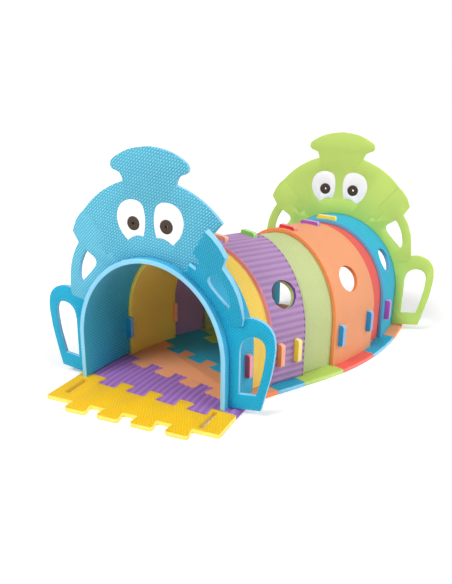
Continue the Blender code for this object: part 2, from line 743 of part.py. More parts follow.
def joint_line(number):
    """The jigsaw line ahead of a tile, from left to right. The last one is straight."""
    left, right = joint_corner(number, -1), joint_corner(number, 1)
    along = (right - left).normalized()
    ahead = Vector((along.y, -along.x))
    middle = route_point(tile_joint(number)[0]).xy
    middle = left + along * (middle - left).dot(along)
    line = [left]
    if number < TILE_COUNT:
        first, last = LEFT_TOOTH_INSET - HALF_WIDTH, HALF_WIDTH - RIGHT_TOOTH_INSET
        for index in range(TOOTH_COUNT):
            place = first + (last - first) * index / (TOOTH_COUNT - 1)
            line += [middle + along * a + ahead * f for a, f in tooth(place)]
    return line + [right]


def side_line(number, side):
    """Floor edge points strictly between a tile's two joints."""
    ends = []
    for index in (number, number + 1):
        station, angle = tile_joint(index)
        ends.append(edge_station(station, angle, floor_reach(station, side)))
    inside = steps_between(ends[0] + FOAM / 2.0, ends[1] - FOAM / 2.0)
    return [side_point(step_station(step), side) for step in inside]


def slot_loop(number, side):
    """A foot slot, as wide as a foot tab with its play, bent along the route."""
    start, end = slot_span(number, side)
    stations = [start] + [step_station(step) for step in steps_between(start, end)] + [end]

    def edge(depth):
        turn = RIGHT if side > 0 else LEFT
        return [arch_point(station, turn, depth).xy for station in stations]

    return edge(INNER - SLOT_PLAY) + list(reversed(edge(INNER + FOAM + SLOT_PLAY)))


def build_floor():
    tiles = ("doorstep_mat", "floor_tile_purple", "floor_tile_orange", "floor_tile_blue",
             "floor_tile_lime", "floor_tile_red", "floor_tile_rear_blue", "floor_tile_rear_orange")
    colours = ("yellow", "purple", "orange", "blue", "lime", "red", "blue", "orange")
    used = {(0, 1), (0, -1)}
    for front, rear in inner_edges().values():
        for side in (1, -1):
            first = edge_station(*front, side * HALF_WIDTH)
            last = edge_station(*rear, side * HALF_WIDTH)
            used.update((number, side) for number, _, _ in foot_tabs(first, last, side))
    for number, (name, colour) in enumerate(zip(tiles, colours)):
        front = joint_line(number)
        rear = shift_line(joint_line(number + 1), -FIT)
        outline = front + side_line(number, 1) + list(reversed(rear)) + list(reversed(side_line(number, -1)))
        holes = [slot_loop(number, side) for side in (1, -1) if (number, side) in used]
        add_object(name, flat_plate(outline, holes), colour)


def main():
    clear_scene()
    build_arches()
    build_floor()
    face("front", "blue", 0.0, sprung_side=RIGHT)
    face("rear", "green", ROUTE_LENGTH)


main()
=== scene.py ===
"""Foam play tunnel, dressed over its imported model.

Metres, +Z up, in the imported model's frame. The arches, face panels and pegs are made again from the
same sizes as the solids, but smooth and with rounded edges. The floor tiles and the doorstep mat
start from the solids.
"""
import json
import math

import bmesh
import bpy
from bpy.props import FloatProperty, FloatVectorProperty, PointerProperty
from mathutils import Euler, Matrix, Vector
from mathutils.geometry import delaunay_2d_cdt


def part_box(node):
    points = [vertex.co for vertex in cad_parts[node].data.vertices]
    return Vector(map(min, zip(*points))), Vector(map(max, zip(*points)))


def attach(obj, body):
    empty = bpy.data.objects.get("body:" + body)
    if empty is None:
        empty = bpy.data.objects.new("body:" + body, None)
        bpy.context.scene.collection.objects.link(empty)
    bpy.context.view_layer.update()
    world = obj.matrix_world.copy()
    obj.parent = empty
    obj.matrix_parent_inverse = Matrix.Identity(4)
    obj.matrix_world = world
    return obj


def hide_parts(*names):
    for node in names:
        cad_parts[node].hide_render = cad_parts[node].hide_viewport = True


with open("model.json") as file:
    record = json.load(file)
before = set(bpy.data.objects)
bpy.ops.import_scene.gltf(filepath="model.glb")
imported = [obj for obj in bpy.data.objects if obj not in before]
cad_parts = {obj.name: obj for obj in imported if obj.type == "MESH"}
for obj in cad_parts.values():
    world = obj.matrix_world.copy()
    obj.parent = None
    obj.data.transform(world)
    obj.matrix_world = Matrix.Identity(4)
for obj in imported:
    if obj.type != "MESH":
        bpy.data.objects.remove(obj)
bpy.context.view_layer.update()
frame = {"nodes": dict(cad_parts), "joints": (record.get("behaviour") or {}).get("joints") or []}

bl_info = {
    "name": "Foam Play Tunnel",
    "version": (1, 0, 0),
    "blender": (4, 5, 0),
    "location": "3D View > Sidebar > Play Tunnel",
    "description": "Foam arches, floor tiles, face panels and pegs of a play tunnel, with a plain stage",
    "category": "Add Mesh",
}

# Sizes of the solids

FOAM = 0.014
FIT = 0.0003
SHEET_PLAY = 0.0008
PANEL_PLAY = 0.0005
SLOT_PLAY = 0.0005
SWING = math.radians(31.9)
SWING_IN, SWING_RUN, SWING_OUT = 0.352, 0.160, 0.432
ROUTE_LENGTH = SWING_IN + SWING_RUN + SWING_OUT
HALF_WIDTH, LEG, CROWN = 0.2475, 0.154, 0.275
BOW, BOW_LENGTH = 0.0145, 0.400
OUTER, INNER = 0.0, FOAM + SHEET_PLAY
FOOT = FOAM + FIT

# The strip of ground under the doorstep mat's slots, where shade is painted: half width, middle and half
# depth
SLOT_STRIP = (0.236, -0.085, 0.048)

# Route over the ground and cross-section of the arches

ROUTE_FINE = 0.004
ROUTE_MARGIN = 0.240
SHORT_WAY = 0.01  # along the tunnel, to find its direction
CUT_TRIES = 14
LEG_PARTS, CROWN_PARTS = 3, 48  # least numbers of parts round a sheet


def heading(station):
    if station <= 0.0 or station >= ROUTE_LENGTH:
        return 0.0
    if station < SWING_IN:
        return SWING * station / SWING_IN
    if station < SWING_IN + SWING_RUN:
        return SWING
    return SWING * (ROUTE_LENGTH - station) / SWING_OUT


def ease(value):
    value = min(max(value, 0.0), 1.0)
    return value * value * (3.0 - 2.0 * value)


def bow(station):
    return BOW * ease(station / BOW_LENGTH) * ease((ROUTE_LENGTH - station) / BOW_LENGTH)


def route_points():
    """Points of the middle line, a fine step apart from a margin ahead of the front face."""
    points = [Vector((0.0, -ROUTE_MARGIN))]
    for number in range(round((ROUTE_LENGTH + 2.0 * ROUTE_MARGIN) / ROUTE_FINE)):
        angle = heading((number + 0.5) * ROUTE_FINE - ROUTE_MARGIN)
        points.append(points[-1] + Vector((math.sin(angle), math.cos(angle))) * ROUTE_FINE)
    return points


ROUTE = route_points()


def route(station):
    place = (station + ROUTE_MARGIN) / ROUTE_FINE
    number = min(max(math.floor(place), 0), len(ROUTE) - 2)
    return ROUTE[number].lerp(ROUTE[number + 1], place - number)


def nearest_station(point):
    number = min(range(len(ROUTE)), key=lambda index: (ROUTE[index] - point).length)
    return number * ROUTE_FINE - ROUTE_MARGIN


def section(station, place, depth):
    """Side offset and height. place is (side, height) on a leg, or (0, angle) round the crown."""
    side, value = place
    half = HALF_WIDTH + bow(station)
    if side:
        return side * (half - depth), value
    across, up = math.cos(value), math.sin(value)
    normal = Vector((across / half, up / CROWN)).normalized()
    return half * across - depth * normal.x, LEG + CROWN * up - depth * normal.y


def arch_point(station, place, depth):
    offset, height = section(station, place, depth)
    middle, angle = route(station), heading(station)
    return Vector((middle.x + offset * math.cos(angle), middle.y - offset * math.sin(angle), height))


def cut_station(edge, place, depth):
    """Station where a line along the sheet meets a straight edge, given as (station, plan angle)."""
    start, angle = edge
    across = Vector((math.sin(angle), math.cos(angle)))
    origin = route(start)
    found = start
    for _ in range(CUT_TRIES):
        found -= (arch_point(found, place, depth).xy - origin).dot(across)
    return found


def places_round(step):
    """Places from the right foot over the crown to the left foot, with their distance round."""
    legs = max(LEG_PARTS, round((LEG - FOOT) / step))
    crown = max(CROWN_PARTS, round(math.pi * (HALF_WIDTH + CROWN) / 2.0 / step))
    rise = [FOOT + (LEG - FOOT) * index / legs for index in range(legs)]
    places = [(1, height) for height in rise]
    places += [(0, math.pi * index / crown) for index in range(crown + 1)]
    places += [(-1, height) for height in reversed(rise)]
    distances = [0.0]
    for before, after in zip(places, places[1:]):
        step_vector = Vector(section(0.0, after, 0.0)) - Vector(section(0.0, before, 0.0))
        distances.append(distances[-1] + step_vector.length)
    return places, distances


# Ends of the sheets: where each edge crosses the middle line, and its plan angle
SLEEVE_OUT = 0.025
FRONT_SLEEVE = ((-SLEEVE_OUT, 0.0), (0.192, math.radians(16.0)))
PURPLE = ((0.268, math.radians(17.0)), (0.457, math.radians(30.5)))
ORANGE = ((0.571, math.radians(27.0)), (0.744, math.radians(14.0)))
REAR_SLEEVE = ((0.812, math.radians(7.0)), (ROUTE_LENGTH + FOAM + SLEEVE_OUT, 0.0))
SLEEVE_PEG_INSET, PURPLE_PEG_INSET, FRONT_PEG_INSET, REAR_PEG_INSET = 0.050, 0.042, 0.019, 0.034
PEG_LAND = 0.016


def past_pegs(edge, inset):
    """The hidden edge of an inner sheet, a land past the pegs of a seam."""
    return edge[0] + inset + math.copysign(PEG_LAND, inset), edge[1]


YELLOW = (past_pegs(FRONT_SLEEVE[1], -SLEEVE_PEG_INSET), past_pegs(PURPLE[0], PURPLE_PEG_INSET))
LIME = (past_pegs(PURPLE[1], -REAR_PEG_INSET), past_pegs(ORANGE[0], FRONT_PEG_INSET))
RED = (past_pegs(ORANGE[1], -REAR_PEG_INSET), past_pegs(REAR_SLEEVE[0], FRONT_PEG_INSET))

SEAM_PLACES = ("right", "top", "left")
PEG_LENGTH, PEG_HEAD, PEG_TAIL = 0.075, 0.020, 0.008
TOP_PEG_PUSH, PEG_CORNER = 0.008, 0.009
PEG_DEPTH = 2.0 * FOAM + SHEET_PLAY + PEG_TAIL
PEG_STEP = 0.0011  # between the points along a peg's sides
WINDOW_RADIUS = 0.045
WINDOW_RISE = math.radians(30.0)
WINDOW_STATIONS = {"purple": 0.400, "orange": 0.646, "rear": 0.881}


def window_frames(station):
    frames = []
    for turn in (WINDOW_RISE, math.pi - WINDOW_RISE):
        place = (0, turn)
        point = arch_point(station, place, 0.0)
        ahead = arch_point(station + SHORT_WAY, place, 0.0) - arch_point(station - SHORT_WAY, place, 0.0)
        outward = point - arch_point(station, place, FOAM)
        frames.append(seat_frame(point, ahead.normalized(), outward))
    return frames


def seat_frame(point, ahead, outward):
    """Frame at a point of a sheet: X round the arch, Y along the tunnel, Z outwards."""
    outward = (outward - ahead * outward.dot(ahead)).normalized()
    seat = Matrix((ahead.cross(outward), ahead, outward)).transposed().to_4x4()
    seat.translation = point
    return seat


def peg_push(name):
    """How much deeper than the side pegs a peg is pushed in."""
    return TOP_PEG_PUSH if name.endswith("_top") else 0.0


def peg_frame(name):
    """Frame of a peg's seat on the outer sheet, found from its solid and its joint."""
    corners = [vertex.co for vertex in frame["nodes"][name].data.vertices]
    axis = next(joint["axis"] for joint in frame["joints"] if joint["child"] == name + "_body")
    outward = Vector(axis).normalized()
    middle = sum((Vector(corner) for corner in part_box(name)), Vector()) / 2.0
    angle = heading(nearest_station(middle.xy))
    ahead = Vector((math.sin(angle), math.cos(angle), 0.0))
    ahead = (ahead - outward * ahead.dot(outward)).normalized()
    seat = Vector()
    for direction in (ahead.cross(outward), ahead):
        reach = [corner.dot(direction) for corner in corners]
        seat += direction * ((min(reach) + max(reach)) / 2.0)
    seat += outward * (max(corner.dot(outward) for corner in corners) - PEG_HEAD + peg_push(name))
    return seat_frame(seat, ahead, outward)


# Outlines of the face panels, right half, as in the solids

DOME_RADIUS, DOME_CENTRE, NECK, SEAM_TOP = 0.290, 0.3595, 0.084, 0.222
HEAD_ARC_END, HAND_SEAM_ARC = math.radians(64.5), math.radians(22.6)
PUPIL_PLACE, PUPIL_RADIUS, PUPIL_HOLE = (0.0535, 0.521), 0.0205, 0.0045
CREST = [(0.0, 0.734), (0.036, 0.730), (0.068, 0.722), (0.096, 0.709), (0.117, 0.695), (0.123, 0.681),
         (0.117, 0.669), (0.104, 0.664), (0.093, 0.658), (0.087, 0.648)]
SEAM = [(0.0052, 0.0023), (0.0172, 0.0083), (0.0242, 0.0273), (0.0452, 0.0133), (0.0662, 0.0453),
        (0.0492, 0.0693)]
WRIST = (0.045, 0.294)
SHOULDER = [(-0.0085, 0.531), (0.008, 0.509), (0.0215, 0.477)]
ARM = [(0.002, 0.444), (0.0185, 0.417), (0.031, 0.386), (0.039, 0.352), WRIST]
HAND_SEAM_CORNER = (0.0405, 0.273)
HAND = [WRIST, (0.0725, 0.298), (0.1065, 0.287), (0.1275, 0.262), (0.1345, 0.226), (0.1315, 0.180),
        (0.1225, 0.125), (0.0985, 0.026)]
EAR_HOLE = [(-0.0285, 0.420), (-0.0585, 0.388), (-0.0045, 0.325), (0.0045, 0.324), (0.0085, 0.340),
            (0.0035, 0.372), (-0.0085, 0.401), (-0.0215, 0.421)]
HAND_HOLE = [(0.0835, 0.070), (0.0995, 0.134), (0.1075, 0.190), (0.1065, 0.222), (0.0955, 0.240),
             (0.0745, 0.246), (0.0525, 0.240), (0.0365, 0.222), (0.0305, 0.195), (0.0305, 0.064)]
EYE_ROUND = [(0.021, 0.487), (0.0145, 0.517), (0.015, 0.550), (0.024, 0.577), (0.047, 0.588),
             (0.077, 0.584), (0.099, 0.566), (0.108, 0.534), (0.098, 0.499), (0.074, 0.471)]
EYE_LID = [(0.074, 0.471), (0.047, 0.486), (0.021, 0.487)]
SPRING_FORWARD, SPRING_REACH, SPRING_CURL, SPRING_BANDS = 0.098, 0.222, 1.5, 30
SPRING_START, SPRING_END = Vector((0.100, 0.360)), Vector((0.300, 0.220))
OUTLINE_STEPS, DOME_STEPS = 7, 30
ARC_STEPS, ARC_GAP = 90, 0.2  # the gap is a share of a step, clear at an arc's ends
MITRE_LEAST = 0.3


def smooth_outline(points):
    """A smooth open line through the points."""
    line = []
    count = len(points)
    for index in range(count - 1):
        before = Vector(points[max(index - 1, 0)])
        start, end = Vector(points[index]), Vector(points[index + 1])
        after = Vector(points[min(index + 2, count - 1)])
        for part in range(OUTLINE_STEPS):
            t = part / OUTLINE_STEPS
            line.append(0.5 * (2.0 * start + (end - before) * t
                               + (2.0 * before - 5.0 * start + 4.0 * end - after) * t * t
                               + (3.0 * start - before - 3.0 * end + after) * t ** 3))
    line.append(Vector(points[-1]))
    return line


def smooth_closed(points):
    """A closed loop with its corners drawn round through the given points."""
    line = smooth_outline([points[-1]] + list(points) + [points[0], points[1]])
    return line[OUTLINE_STEPS:-OUTLINE_STEPS - 1]


def shift_line(points, distance):
    """The open line moved to its left by a distance, with mitred corners."""
    points = [Vector(point) for point in points]
    normals = []
    for start, end in zip(points, points[1:]):
        along = (end - start).normalized()
        normals.append(Vector((-along.y, along.x)))
    moved = []
    for index, point in enumerate(points):
        before = normals[max(index - 1, 0)]
        after = normals[min(index, len(normals) - 1)]
        mitre = (before + after).normalized()
        moved.append(point + mitre * (distance / max(mitre.dot(after), MITRE_LEAST)))
    return moved


def shift_loop(points, distance):
    closed = [points[-1]] + list(points) + [points[0]]
    return shift_line(closed, distance)[1:-1]


def circle(centre, radius, steps):
    return [Vector((centre[0] + radius * math.cos(2.0 * math.pi * index / steps),
                    centre[1] + radius * math.sin(2.0 * math.pi * index / steps)))
            for index in range(steps)]


def flip(points):
    return [Vector((-point[0], point[1])) for point in reversed(list(points))]


def opening_point(turn):
    across, up = HALF_WIDTH + PANEL_PLAY, CROWN + PANEL_PLAY
    return Vector((across * math.cos(turn), LEG + up * math.sin(turn)))


def opening_arc(start, end):
    step = math.pi / ARC_STEPS
    gap = step * ARC_GAP
    return [opening_point(index * step) for index in range(ARC_STEPS + 1)
            if start + gap < index * step < end - gap]


def dome_arc(start_x, end_x, steps):
    start = math.acos(start_x / DOME_RADIUS)
    end = math.acos(end_x / DOME_RADIUS)
    line = []
    for index in range(steps + 1):
        turn = start + (end - start) * index / steps
        line.append(Vector((DOME_RADIUS * math.cos(turn), DOME_CENTRE + DOME_RADIUS * math.sin(turn))))
    return line


def head_seam():
    foot = opening_point(HEAD_ARC_END)
    return [foot] + [foot + Vector(point) for point in SEAM]


def beside_sleeve(points):
    return [Vector((HALF_WIDTH + out, height)) for out, height in points]


def head_outline():
    right = head_seam()
    right += dome_arc(SEAM_TOP, NECK, DOME_STEPS)
    right += list(reversed(smooth_outline(CREST)))[0:-1]
    lower = list(reversed(opening_arc(HEAD_ARC_END, math.pi - HEAD_ARC_END)))
    return right + [Vector(CREST[0])] + flip(right) + lower


def shoulder_outline():
    seam = shift_line(head_seam() + dome_arc(SEAM_TOP, SEAM_TOP, 1)[0:1], -FIT)
    inner = [opening_point(HAND_SEAM_ARC)] + opening_arc(HAND_SEAM_ARC, HEAD_ARC_END)
    outer = beside_sleeve(SHOULDER) + smooth_outline(beside_sleeve(ARM))
    return inner + seam + outer + beside_sleeve([HAND_SEAM_CORNER])


def hand_outline():
    seam = shift_line(beside_sleeve([WRIST, HAND_SEAM_CORNER]) + [opening_point(HAND_SEAM_ARC)], FIT)
    inner = [opening_point(0.0)] + opening_arc(0.0, HAND_SEAM_ARC)
    foot = Vector((HALF_WIDTH + PANEL_PLAY, FOAM + FIT))
    outer = smooth_outline(beside_sleeve(HAND))[1:]
    return [seam[2]] + list(reversed(inner)) + [foot] + list(reversed(outer)) + seam[0:2]


def hand_hole():
    corners = beside_sleeve(HAND_HOLE)
    return smooth_outline(corners[:-1]) + corners[-1:]


def eye_outline():
    return list(reversed(smooth_outline(EYE_ROUND)[:-1] + smooth_outline(EYE_LID)[:-1]))


def spring_outward():
    along = (SPRING_END - SPRING_START).normalized()
    return Vector((-along.y, along.x))


def sprung_point(point, depth):
    """A point of the sprung shoulder at a depth under its front side: across, back and up."""
    outward = spring_outward()
    share = max((point - SPRING_START).dot(outward), 0.0) / SPRING_REACH
    forward = SPRING_FORWARD * share ** SPRING_CURL
    slope = SPRING_CURL * SPRING_FORWARD / SPRING_REACH * share ** (SPRING_CURL - 1.0)
    lean = math.atan(slope) * ease(forward / FOAM - 1.0)
    aside = outward * (depth * math.sin(lean))
    return point.x + aside.x, depth * math.cos(lean) - forward, point.y + aside.y


# Foam finishes: shader groups and materials

def shader_node(tree, kind, inputs=None, **settings):
    made = tree.nodes.new(kind)
    for key, value in settings.items():
        setattr(made, key, value)
    for key, value in (inputs or {}).items():
        connect(tree, made.inputs[key], value)
    return made


def connect(tree, socket, value):
    if isinstance(value, bpy.types.NodeSocket):
        tree.links.new(value, socket)
    else:
        socket.default_value = value


def maths(tree, operation, *values):
    made = tree.nodes.new("ShaderNodeMath")
    made.operation = operation
    for index, value in enumerate(values):
        connect(tree, made.inputs[index], value)
    return made.outputs[0]


def new_group(name, kind, inputs, outputs):
    """A node group with its sockets: each is (name, socket kind, default or None)."""
    tree = bpy.data.node_groups.new(name, kind)
    for direction, sockets in (("INPUT", inputs), ("OUTPUT", outputs)):
        for title, socket_kind, default in sockets:
            socket = tree.interface.new_socket(name=title, in_out=direction, socket_type=socket_kind)
            if default is not None:
                socket.default_value = default
    return tree, tree.nodes.new("NodeGroupInput").outputs, tree.nodes.new("NodeGroupOutput").inputs


FLOAT, VECTOR, COLOUR = "NodeSocketFloat", "NodeSocketVector", "NodeSocketColor"
GEOMETRY, MATERIAL = "NodeSocketGeometry", "NodeSocketMaterial"

# Strengths of the finishes
DASH_ROUNDNESS = 0.6
UNEVENNESS, BRIGHTNESS, SPECKS = 0.10, 0.97, 0.10
PAINTED_SHADE_SATURATION = 0.6
SKIN_PORES, CUT_PORES = (0.0010, 0.35), (0.0016, 0.6)  # size and strength
PORE_DEPTH = 0.0003
PRESSED_STRENGTH = 0.8
ROUGHNESS = (0.52, 0.76)
SPECULAR = 0.35
SHEEN, SHEEN_ROUGHNESS = 0.12, 0.40
CUT_PALENESS = 0.30


def weave_group():
    """Raised dashes in staggered rows, pressed into the foam's skin."""
    tree, given, result = new_group(
        "Foam Weave", "ShaderNodeTree",
        [("Vector", VECTOR, None), ("Dash Length", FLOAT, 0.008), ("Row Pitch", FLOAT, 0.0055),
         ("Stagger", FLOAT, 0.5), ("Unbroken", FLOAT, 0.0)],
        [("Height", FLOAT, None)])
    parts = shader_node(tree, "ShaderNodeSeparateXYZ", {"Vector": given["Vector"]}).outputs
    across = maths(tree, "DIVIDE", parts["Y"], given["Row Pitch"])
    row = maths(tree, "FLOOR", across)
    along = maths(tree, "MULTIPLY_ADD", row, given["Stagger"],
                  maths(tree, "DIVIDE", parts["X"], given["Dash Length"]))
    ridge = maths(tree, "SINE", maths(tree, "MULTIPLY", maths(tree, "FRACT", across), math.pi))
    dash = maths(tree, "SINE", maths(tree, "MULTIPLY", maths(tree, "FRACT", along), math.pi))
    dash = maths(tree, "POWER", dash, DASH_ROUNDNESS)
    dash = maths(tree, "MAXIMUM", dash, given["Unbroken"])
    connect(tree, result["Height"], maths(tree, "MULTIPLY", ridge, dash))
    return tree


def grain_group():
    """Fine closed pores of cut foam, and slow changes of its colour."""
    tree, given, result = new_group(
        "Foam Grain", "ShaderNodeTree",
        [("Vector", VECTOR, None), ("Pore Size", FLOAT, 0.0012)],
        [("Pores", FLOAT, None), ("Mottle", FLOAT, None)])
    scale = maths(tree, "DIVIDE", 1.0, given["Pore Size"])
    pores = shader_node(tree, "ShaderNodeTexNoise",
                        {"Vector": given["Vector"], "Scale": scale, "Detail": 2.0, "Roughness": 0.6})
    mottle = shader_node(tree, "ShaderNodeTexNoise",
                         {"Vector": given["Vector"], "Scale": 11.0, "Detail": 3.0, "Roughness": 0.55})
    connect(tree, result["Pores"], pores.outputs[0])
    connect(tree, result["Mottle"], mottle.outputs[0])
    return tree


def tint_group():
    """Foam colour with painted shade, deeper in the hollows of the weave and between ribs, and uneven
    over the sheet.
    """
    tree, given, result = new_group(
        "Foam Tint", "ShaderNodeTree",
        [("Colour", COLOUR, None), ("Height", FLOAT, 1.0), ("Pores", FLOAT, 0.5), ("Mottle", FLOAT, 0.5),
         ("Painted Hollow Shade", FLOAT, 0.15), ("Between Ribs", FLOAT, 0.0), ("Painted Rib Shade", FLOAT, 0.22)],
        [("Colour", COLOUR, None)])
    hollow = maths(tree, "MULTIPLY", maths(tree, "SUBTRACT", 1.0, given["Height"]), given["Painted Hollow Shade"])
    hollow = maths(tree, "MULTIPLY_ADD", given["Between Ribs"], given["Painted Rib Shade"], hollow)
    uneven = maths(tree, "MULTIPLY_ADD", given["Mottle"], UNEVENNESS, BRIGHTNESS)
    speck = maths(tree, "MULTIPLY_ADD", given["Pores"], SPECKS, -SPECKS / 2.0)
    value = maths(tree, "ADD", maths(tree, "SUBTRACT", uneven, hollow), speck)
    saturation = maths(tree, "MULTIPLY_ADD", hollow, PAINTED_SHADE_SATURATION, 1.0)
    tinted = shader_node(tree, "ShaderNodeHueSaturation",
                         {"Color": given["Colour"], "Value": value, "Saturation": saturation})
    connect(tree, result["Colour"], tinted.outputs[0])
    return tree


GROUP_MAKERS = {"Foam Weave": weave_group, "Foam Grain": grain_group, "Foam Tint": tint_group}


def place_group(tree, name):
    """A node of a shared group, which is built at its first use."""
    shared = bpy.data.node_groups.get(name) or GROUP_MAKERS[name]()
    return shader_node(tree, "ShaderNodeGroup", node_tree=shared)


# Pressed patterns: turn of the rows, dash length, row pitch, stagger, how unbroken the dashes are,
# relief, and painted shade of the hollows
PATTERNS = {
    "dashes": (-42.0, 0.0110, 0.0068, 0.5, 0.0, 0.0024, 0.42),
    "columns": (90.0, 0.0100, 0.0072, 0.5, 0.0, 0.0026, 0.34),
    "diamonds": (45.0, 0.0070, 0.0070, 0.0, 0.0, 0.0018, 0.38),
    "small_diamonds": (45.0, 0.0058, 0.0058, 0.0, 0.0, 0.0010, 0.24),
    "squares": (0.0, 0.0054, 0.0054, 0.0, 0.25, 0.0008, 0.16),
    "fine": (30.0, 0.0036, 0.0036, 0.5, 0.0, 0.0005, 0.12),
    "faint": (30.0, 0.0036, 0.0036, 0.5, 0.0, 0.0004, 0.03),
}


def foam_material(name, colour, pattern=None):
    """One foam finish: a skin with a pressed pattern, or plain cut foam where pattern is None."""
    found = bpy.data.materials.get(name)
    if found:
        return found
    made = bpy.data.materials.new(name)
    made.use_nodes = True
    tree = made.node_tree
    shader = tree.nodes["Principled BSDF"]
    places = shader_node(tree, "ShaderNodeTexCoord").outputs["Object"]
    pore_size, pore_strength = SKIN_PORES if pattern else CUT_PORES
    grain = place_group(tree, "Foam Grain")
    connect(tree, grain.inputs["Vector"], places)
    grain.inputs["Pore Size"].default_value = pore_size
    tint = place_group(tree, "Foam Tint")
    tint.inputs["Colour"].default_value = (*colour, 1.0)
    # Points deep between ribs are darkened as painted shade
    between = shader_node(tree, "ShaderNodeAttribute", attribute_name="hollow")
    connect(tree, tint.inputs["Between Ribs"], between.outputs["Fac"])
    connect(tree, tint.inputs["Pores"], grain.outputs["Pores"])
    connect(tree, tint.inputs["Mottle"], grain.outputs["Mottle"])
    pores = shader_node(tree, "ShaderNodeBump", {"Height": grain.outputs["Pores"]})
    pores.inputs["Strength"].default_value = pore_strength
    pores.inputs["Distance"].default_value = PORE_DEPTH
    normal = pores.outputs[0]
    if pattern:
        turn, length, pitch, stagger, unbroken, relief, shade = PATTERNS[pattern]
        surface = shader_node(tree, "ShaderNodeUVMap", uv_map="surface").outputs["UV"]
        turned = shader_node(tree, "ShaderNodeMapping", {"Vector": surface})
        turned.inputs["Rotation"].default_value = (0.0, 0.0, math.radians(turn))
        weave = place_group(tree, "Foam Weave")
        connect(tree, weave.inputs["Vector"], turned.outputs[0])
        for title, value in (("Dash Length", length), ("Row Pitch", pitch), ("Stagger", stagger),
                             ("Unbroken", unbroken)):
            weave.inputs[title].default_value = value
        connect(tree, tint.inputs["Height"], weave.outputs["Height"])
        tint.inputs["Painted Hollow Shade"].default_value = shade
        pressed = shader_node(tree, "ShaderNodeBump",
                              {"Height": weave.outputs["Height"], "Normal": normal})
        pressed.inputs["Strength"].default_value = PRESSED_STRENGTH
        pressed.inputs["Distance"].default_value = relief
        normal = pressed.outputs[0]
    rough = shader_node(tree, "ShaderNodeMapRange", {"Value": grain.outputs["Pores"],
                        "To Min": ROUGHNESS[0], "To Max": ROUGHNESS[1]})
    connect(tree, shader.inputs["Base Color"], tint.outputs["Colour"])
    connect(tree, shader.inputs["Roughness"], rough.outputs[0])
    connect(tree, shader.inputs["Normal"], normal)
    shader.inputs["Specular IOR Level"].default_value = SPECULAR
    if pattern:
        shader.inputs["Sheen Weight"].default_value = SHEEN
        shader.inputs["Sheen Roughness"].default_value = SHEEN_ROUGHNESS
    return made


def finishes(colours, skin, cut, pattern):
    """The skin and the cut-edge material of a foam, from the names of two colour properties."""
    return [foam_material(f"foam_skin_{skin}_{pattern}", getattr(colours, skin), pattern),
            foam_material(f"foam_cut_{cut}", getattr(colours, cut))]


def paler(colour):
    """The colour of a peg's cut edge, paler than its skin."""
    return [value + (1.0 - value) * CUT_PALENESS for value in colour]


# Meshes

SKIN, CUT, FRONT_CUT = 0, 1, 2  # numbers of the material slots
SHARP_EDGE, SHARP_OPENING, SHARP_PEG = 32.0, 34.0, 40.0  # degrees
CORNER_ROWS = 3  # faces across a sheet's rounded edge
SKIN_SHARE = 0.9  # of the rounding: ribs move the points that lie less deep than this
RIB_PARTS = 6.0  # steps from one rib to the next
ARCH_STEP, ARCH_ROWS = 0.009, 14
FLAT_ANGLE = 0.01
CLOSE_POINTS = 1e-7
KEEP_INSIDE = 1  # the triangulation leaves out what lies outside the outlines
TOP_LEAN, SKIN_LEAN = 0.7, 0.3  # least upward share of the normal of a flat side, and of a skin
PANEL_ROUNDING, EYE_ROUNDING = 0.0012, 0.0008
TILE_ROUNDING = 0.7  # share of the rounding of the other edges
SQUARE = ((0, 0), (1, 0), (1, 1), (0, 1))


def make_object(name, bm, materials):
    mesh = bpy.data.meshes.new(name)
    bm.to_mesh(mesh)
    bm.free()
    for material in materials:
        mesh.materials.append(material)
    mesh.shade_smooth()
    mesh.set_sharp_from_angle(angle=math.radians(SHARP_EDGE))
    item = bpy.data.objects.new(name, mesh)
    bpy.context.scene.collection.objects.link(item)
    return item


def settle(item, sharp=None):
    """Makes the evaluated result the object's own plain mesh."""
    bpy.context.view_layer.update()
    evaluated = item.evaluated_get(bpy.context.evaluated_depsgraph_get())
    mesh = bpy.data.meshes.new_from_object(evaluated)
    old = item.data
    item.modifiers.clear()
    item.data = mesh
    mesh.name = item.name
    bpy.data.meshes.remove(old)
    if sharp:
        mesh.shade_smooth()
        mesh.set_sharp_from_angle(angle=math.radians(sharp))


def finish_piece(item, node, body):
    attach(item, body)
    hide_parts(node)


def use_boolean(item, tool, operation="DIFFERENCE"):
    cut = item.modifiers.new("openings", "BOOLEAN")
    cut.operation = operation
    cut.solver = "EXACT"
    cut.object = tool
    settle(item, SHARP_OPENING)
    mesh = tool.data
    bpy.data.objects.remove(tool)
    bpy.data.meshes.remove(mesh)


def ribbed_mesh():
    """An empty mesh that can hold a flat map and what the ribs need of each point."""
    bm = bmesh.new()
    bm.loops.layers.uv.new("surface")
    bm.verts.layers.float.new("around")
    bm.verts.layers.float.new("rib")
    return bm


def add_point(bm, place, around, rib):
    """A point with its distance round, and 1 for a point that the ribs move, or else 0."""
    vertex = bm.verts.new(place)
    vertex[bm.verts.layers.float["around"]] = around
    vertex[bm.verts.layers.float["rib"]] = rib
    return vertex


def lay_flat(bm, flat):
    """Gives each face corner its place on the flat sheet."""
    uv = bm.loops.layers.uv["surface"]
    for face in bm.faces:
        for corner in face.loops:
            corner[uv].uv = flat[corner.vert]


def edge_profile(rounding, rows):
    """Points of a sheet's edge-to-edge section: (end, inset or share, depth under the skin)."""
    corner = []
    for index in range(CORNER_ROWS + 1):
        turn = math.pi / 2.0 * index / CORNER_ROWS
        corner.append((rounding * (1.0 - math.cos(turn)), rounding * (1.0 - math.sin(turn))))
    line = [("front", inset, depth) for inset, depth in corner]
    line += [("span", index / rows, 0.0) for index in range(1, rows)]
    return line + [("rear", inset, depth) for inset, depth in reversed(corner)]


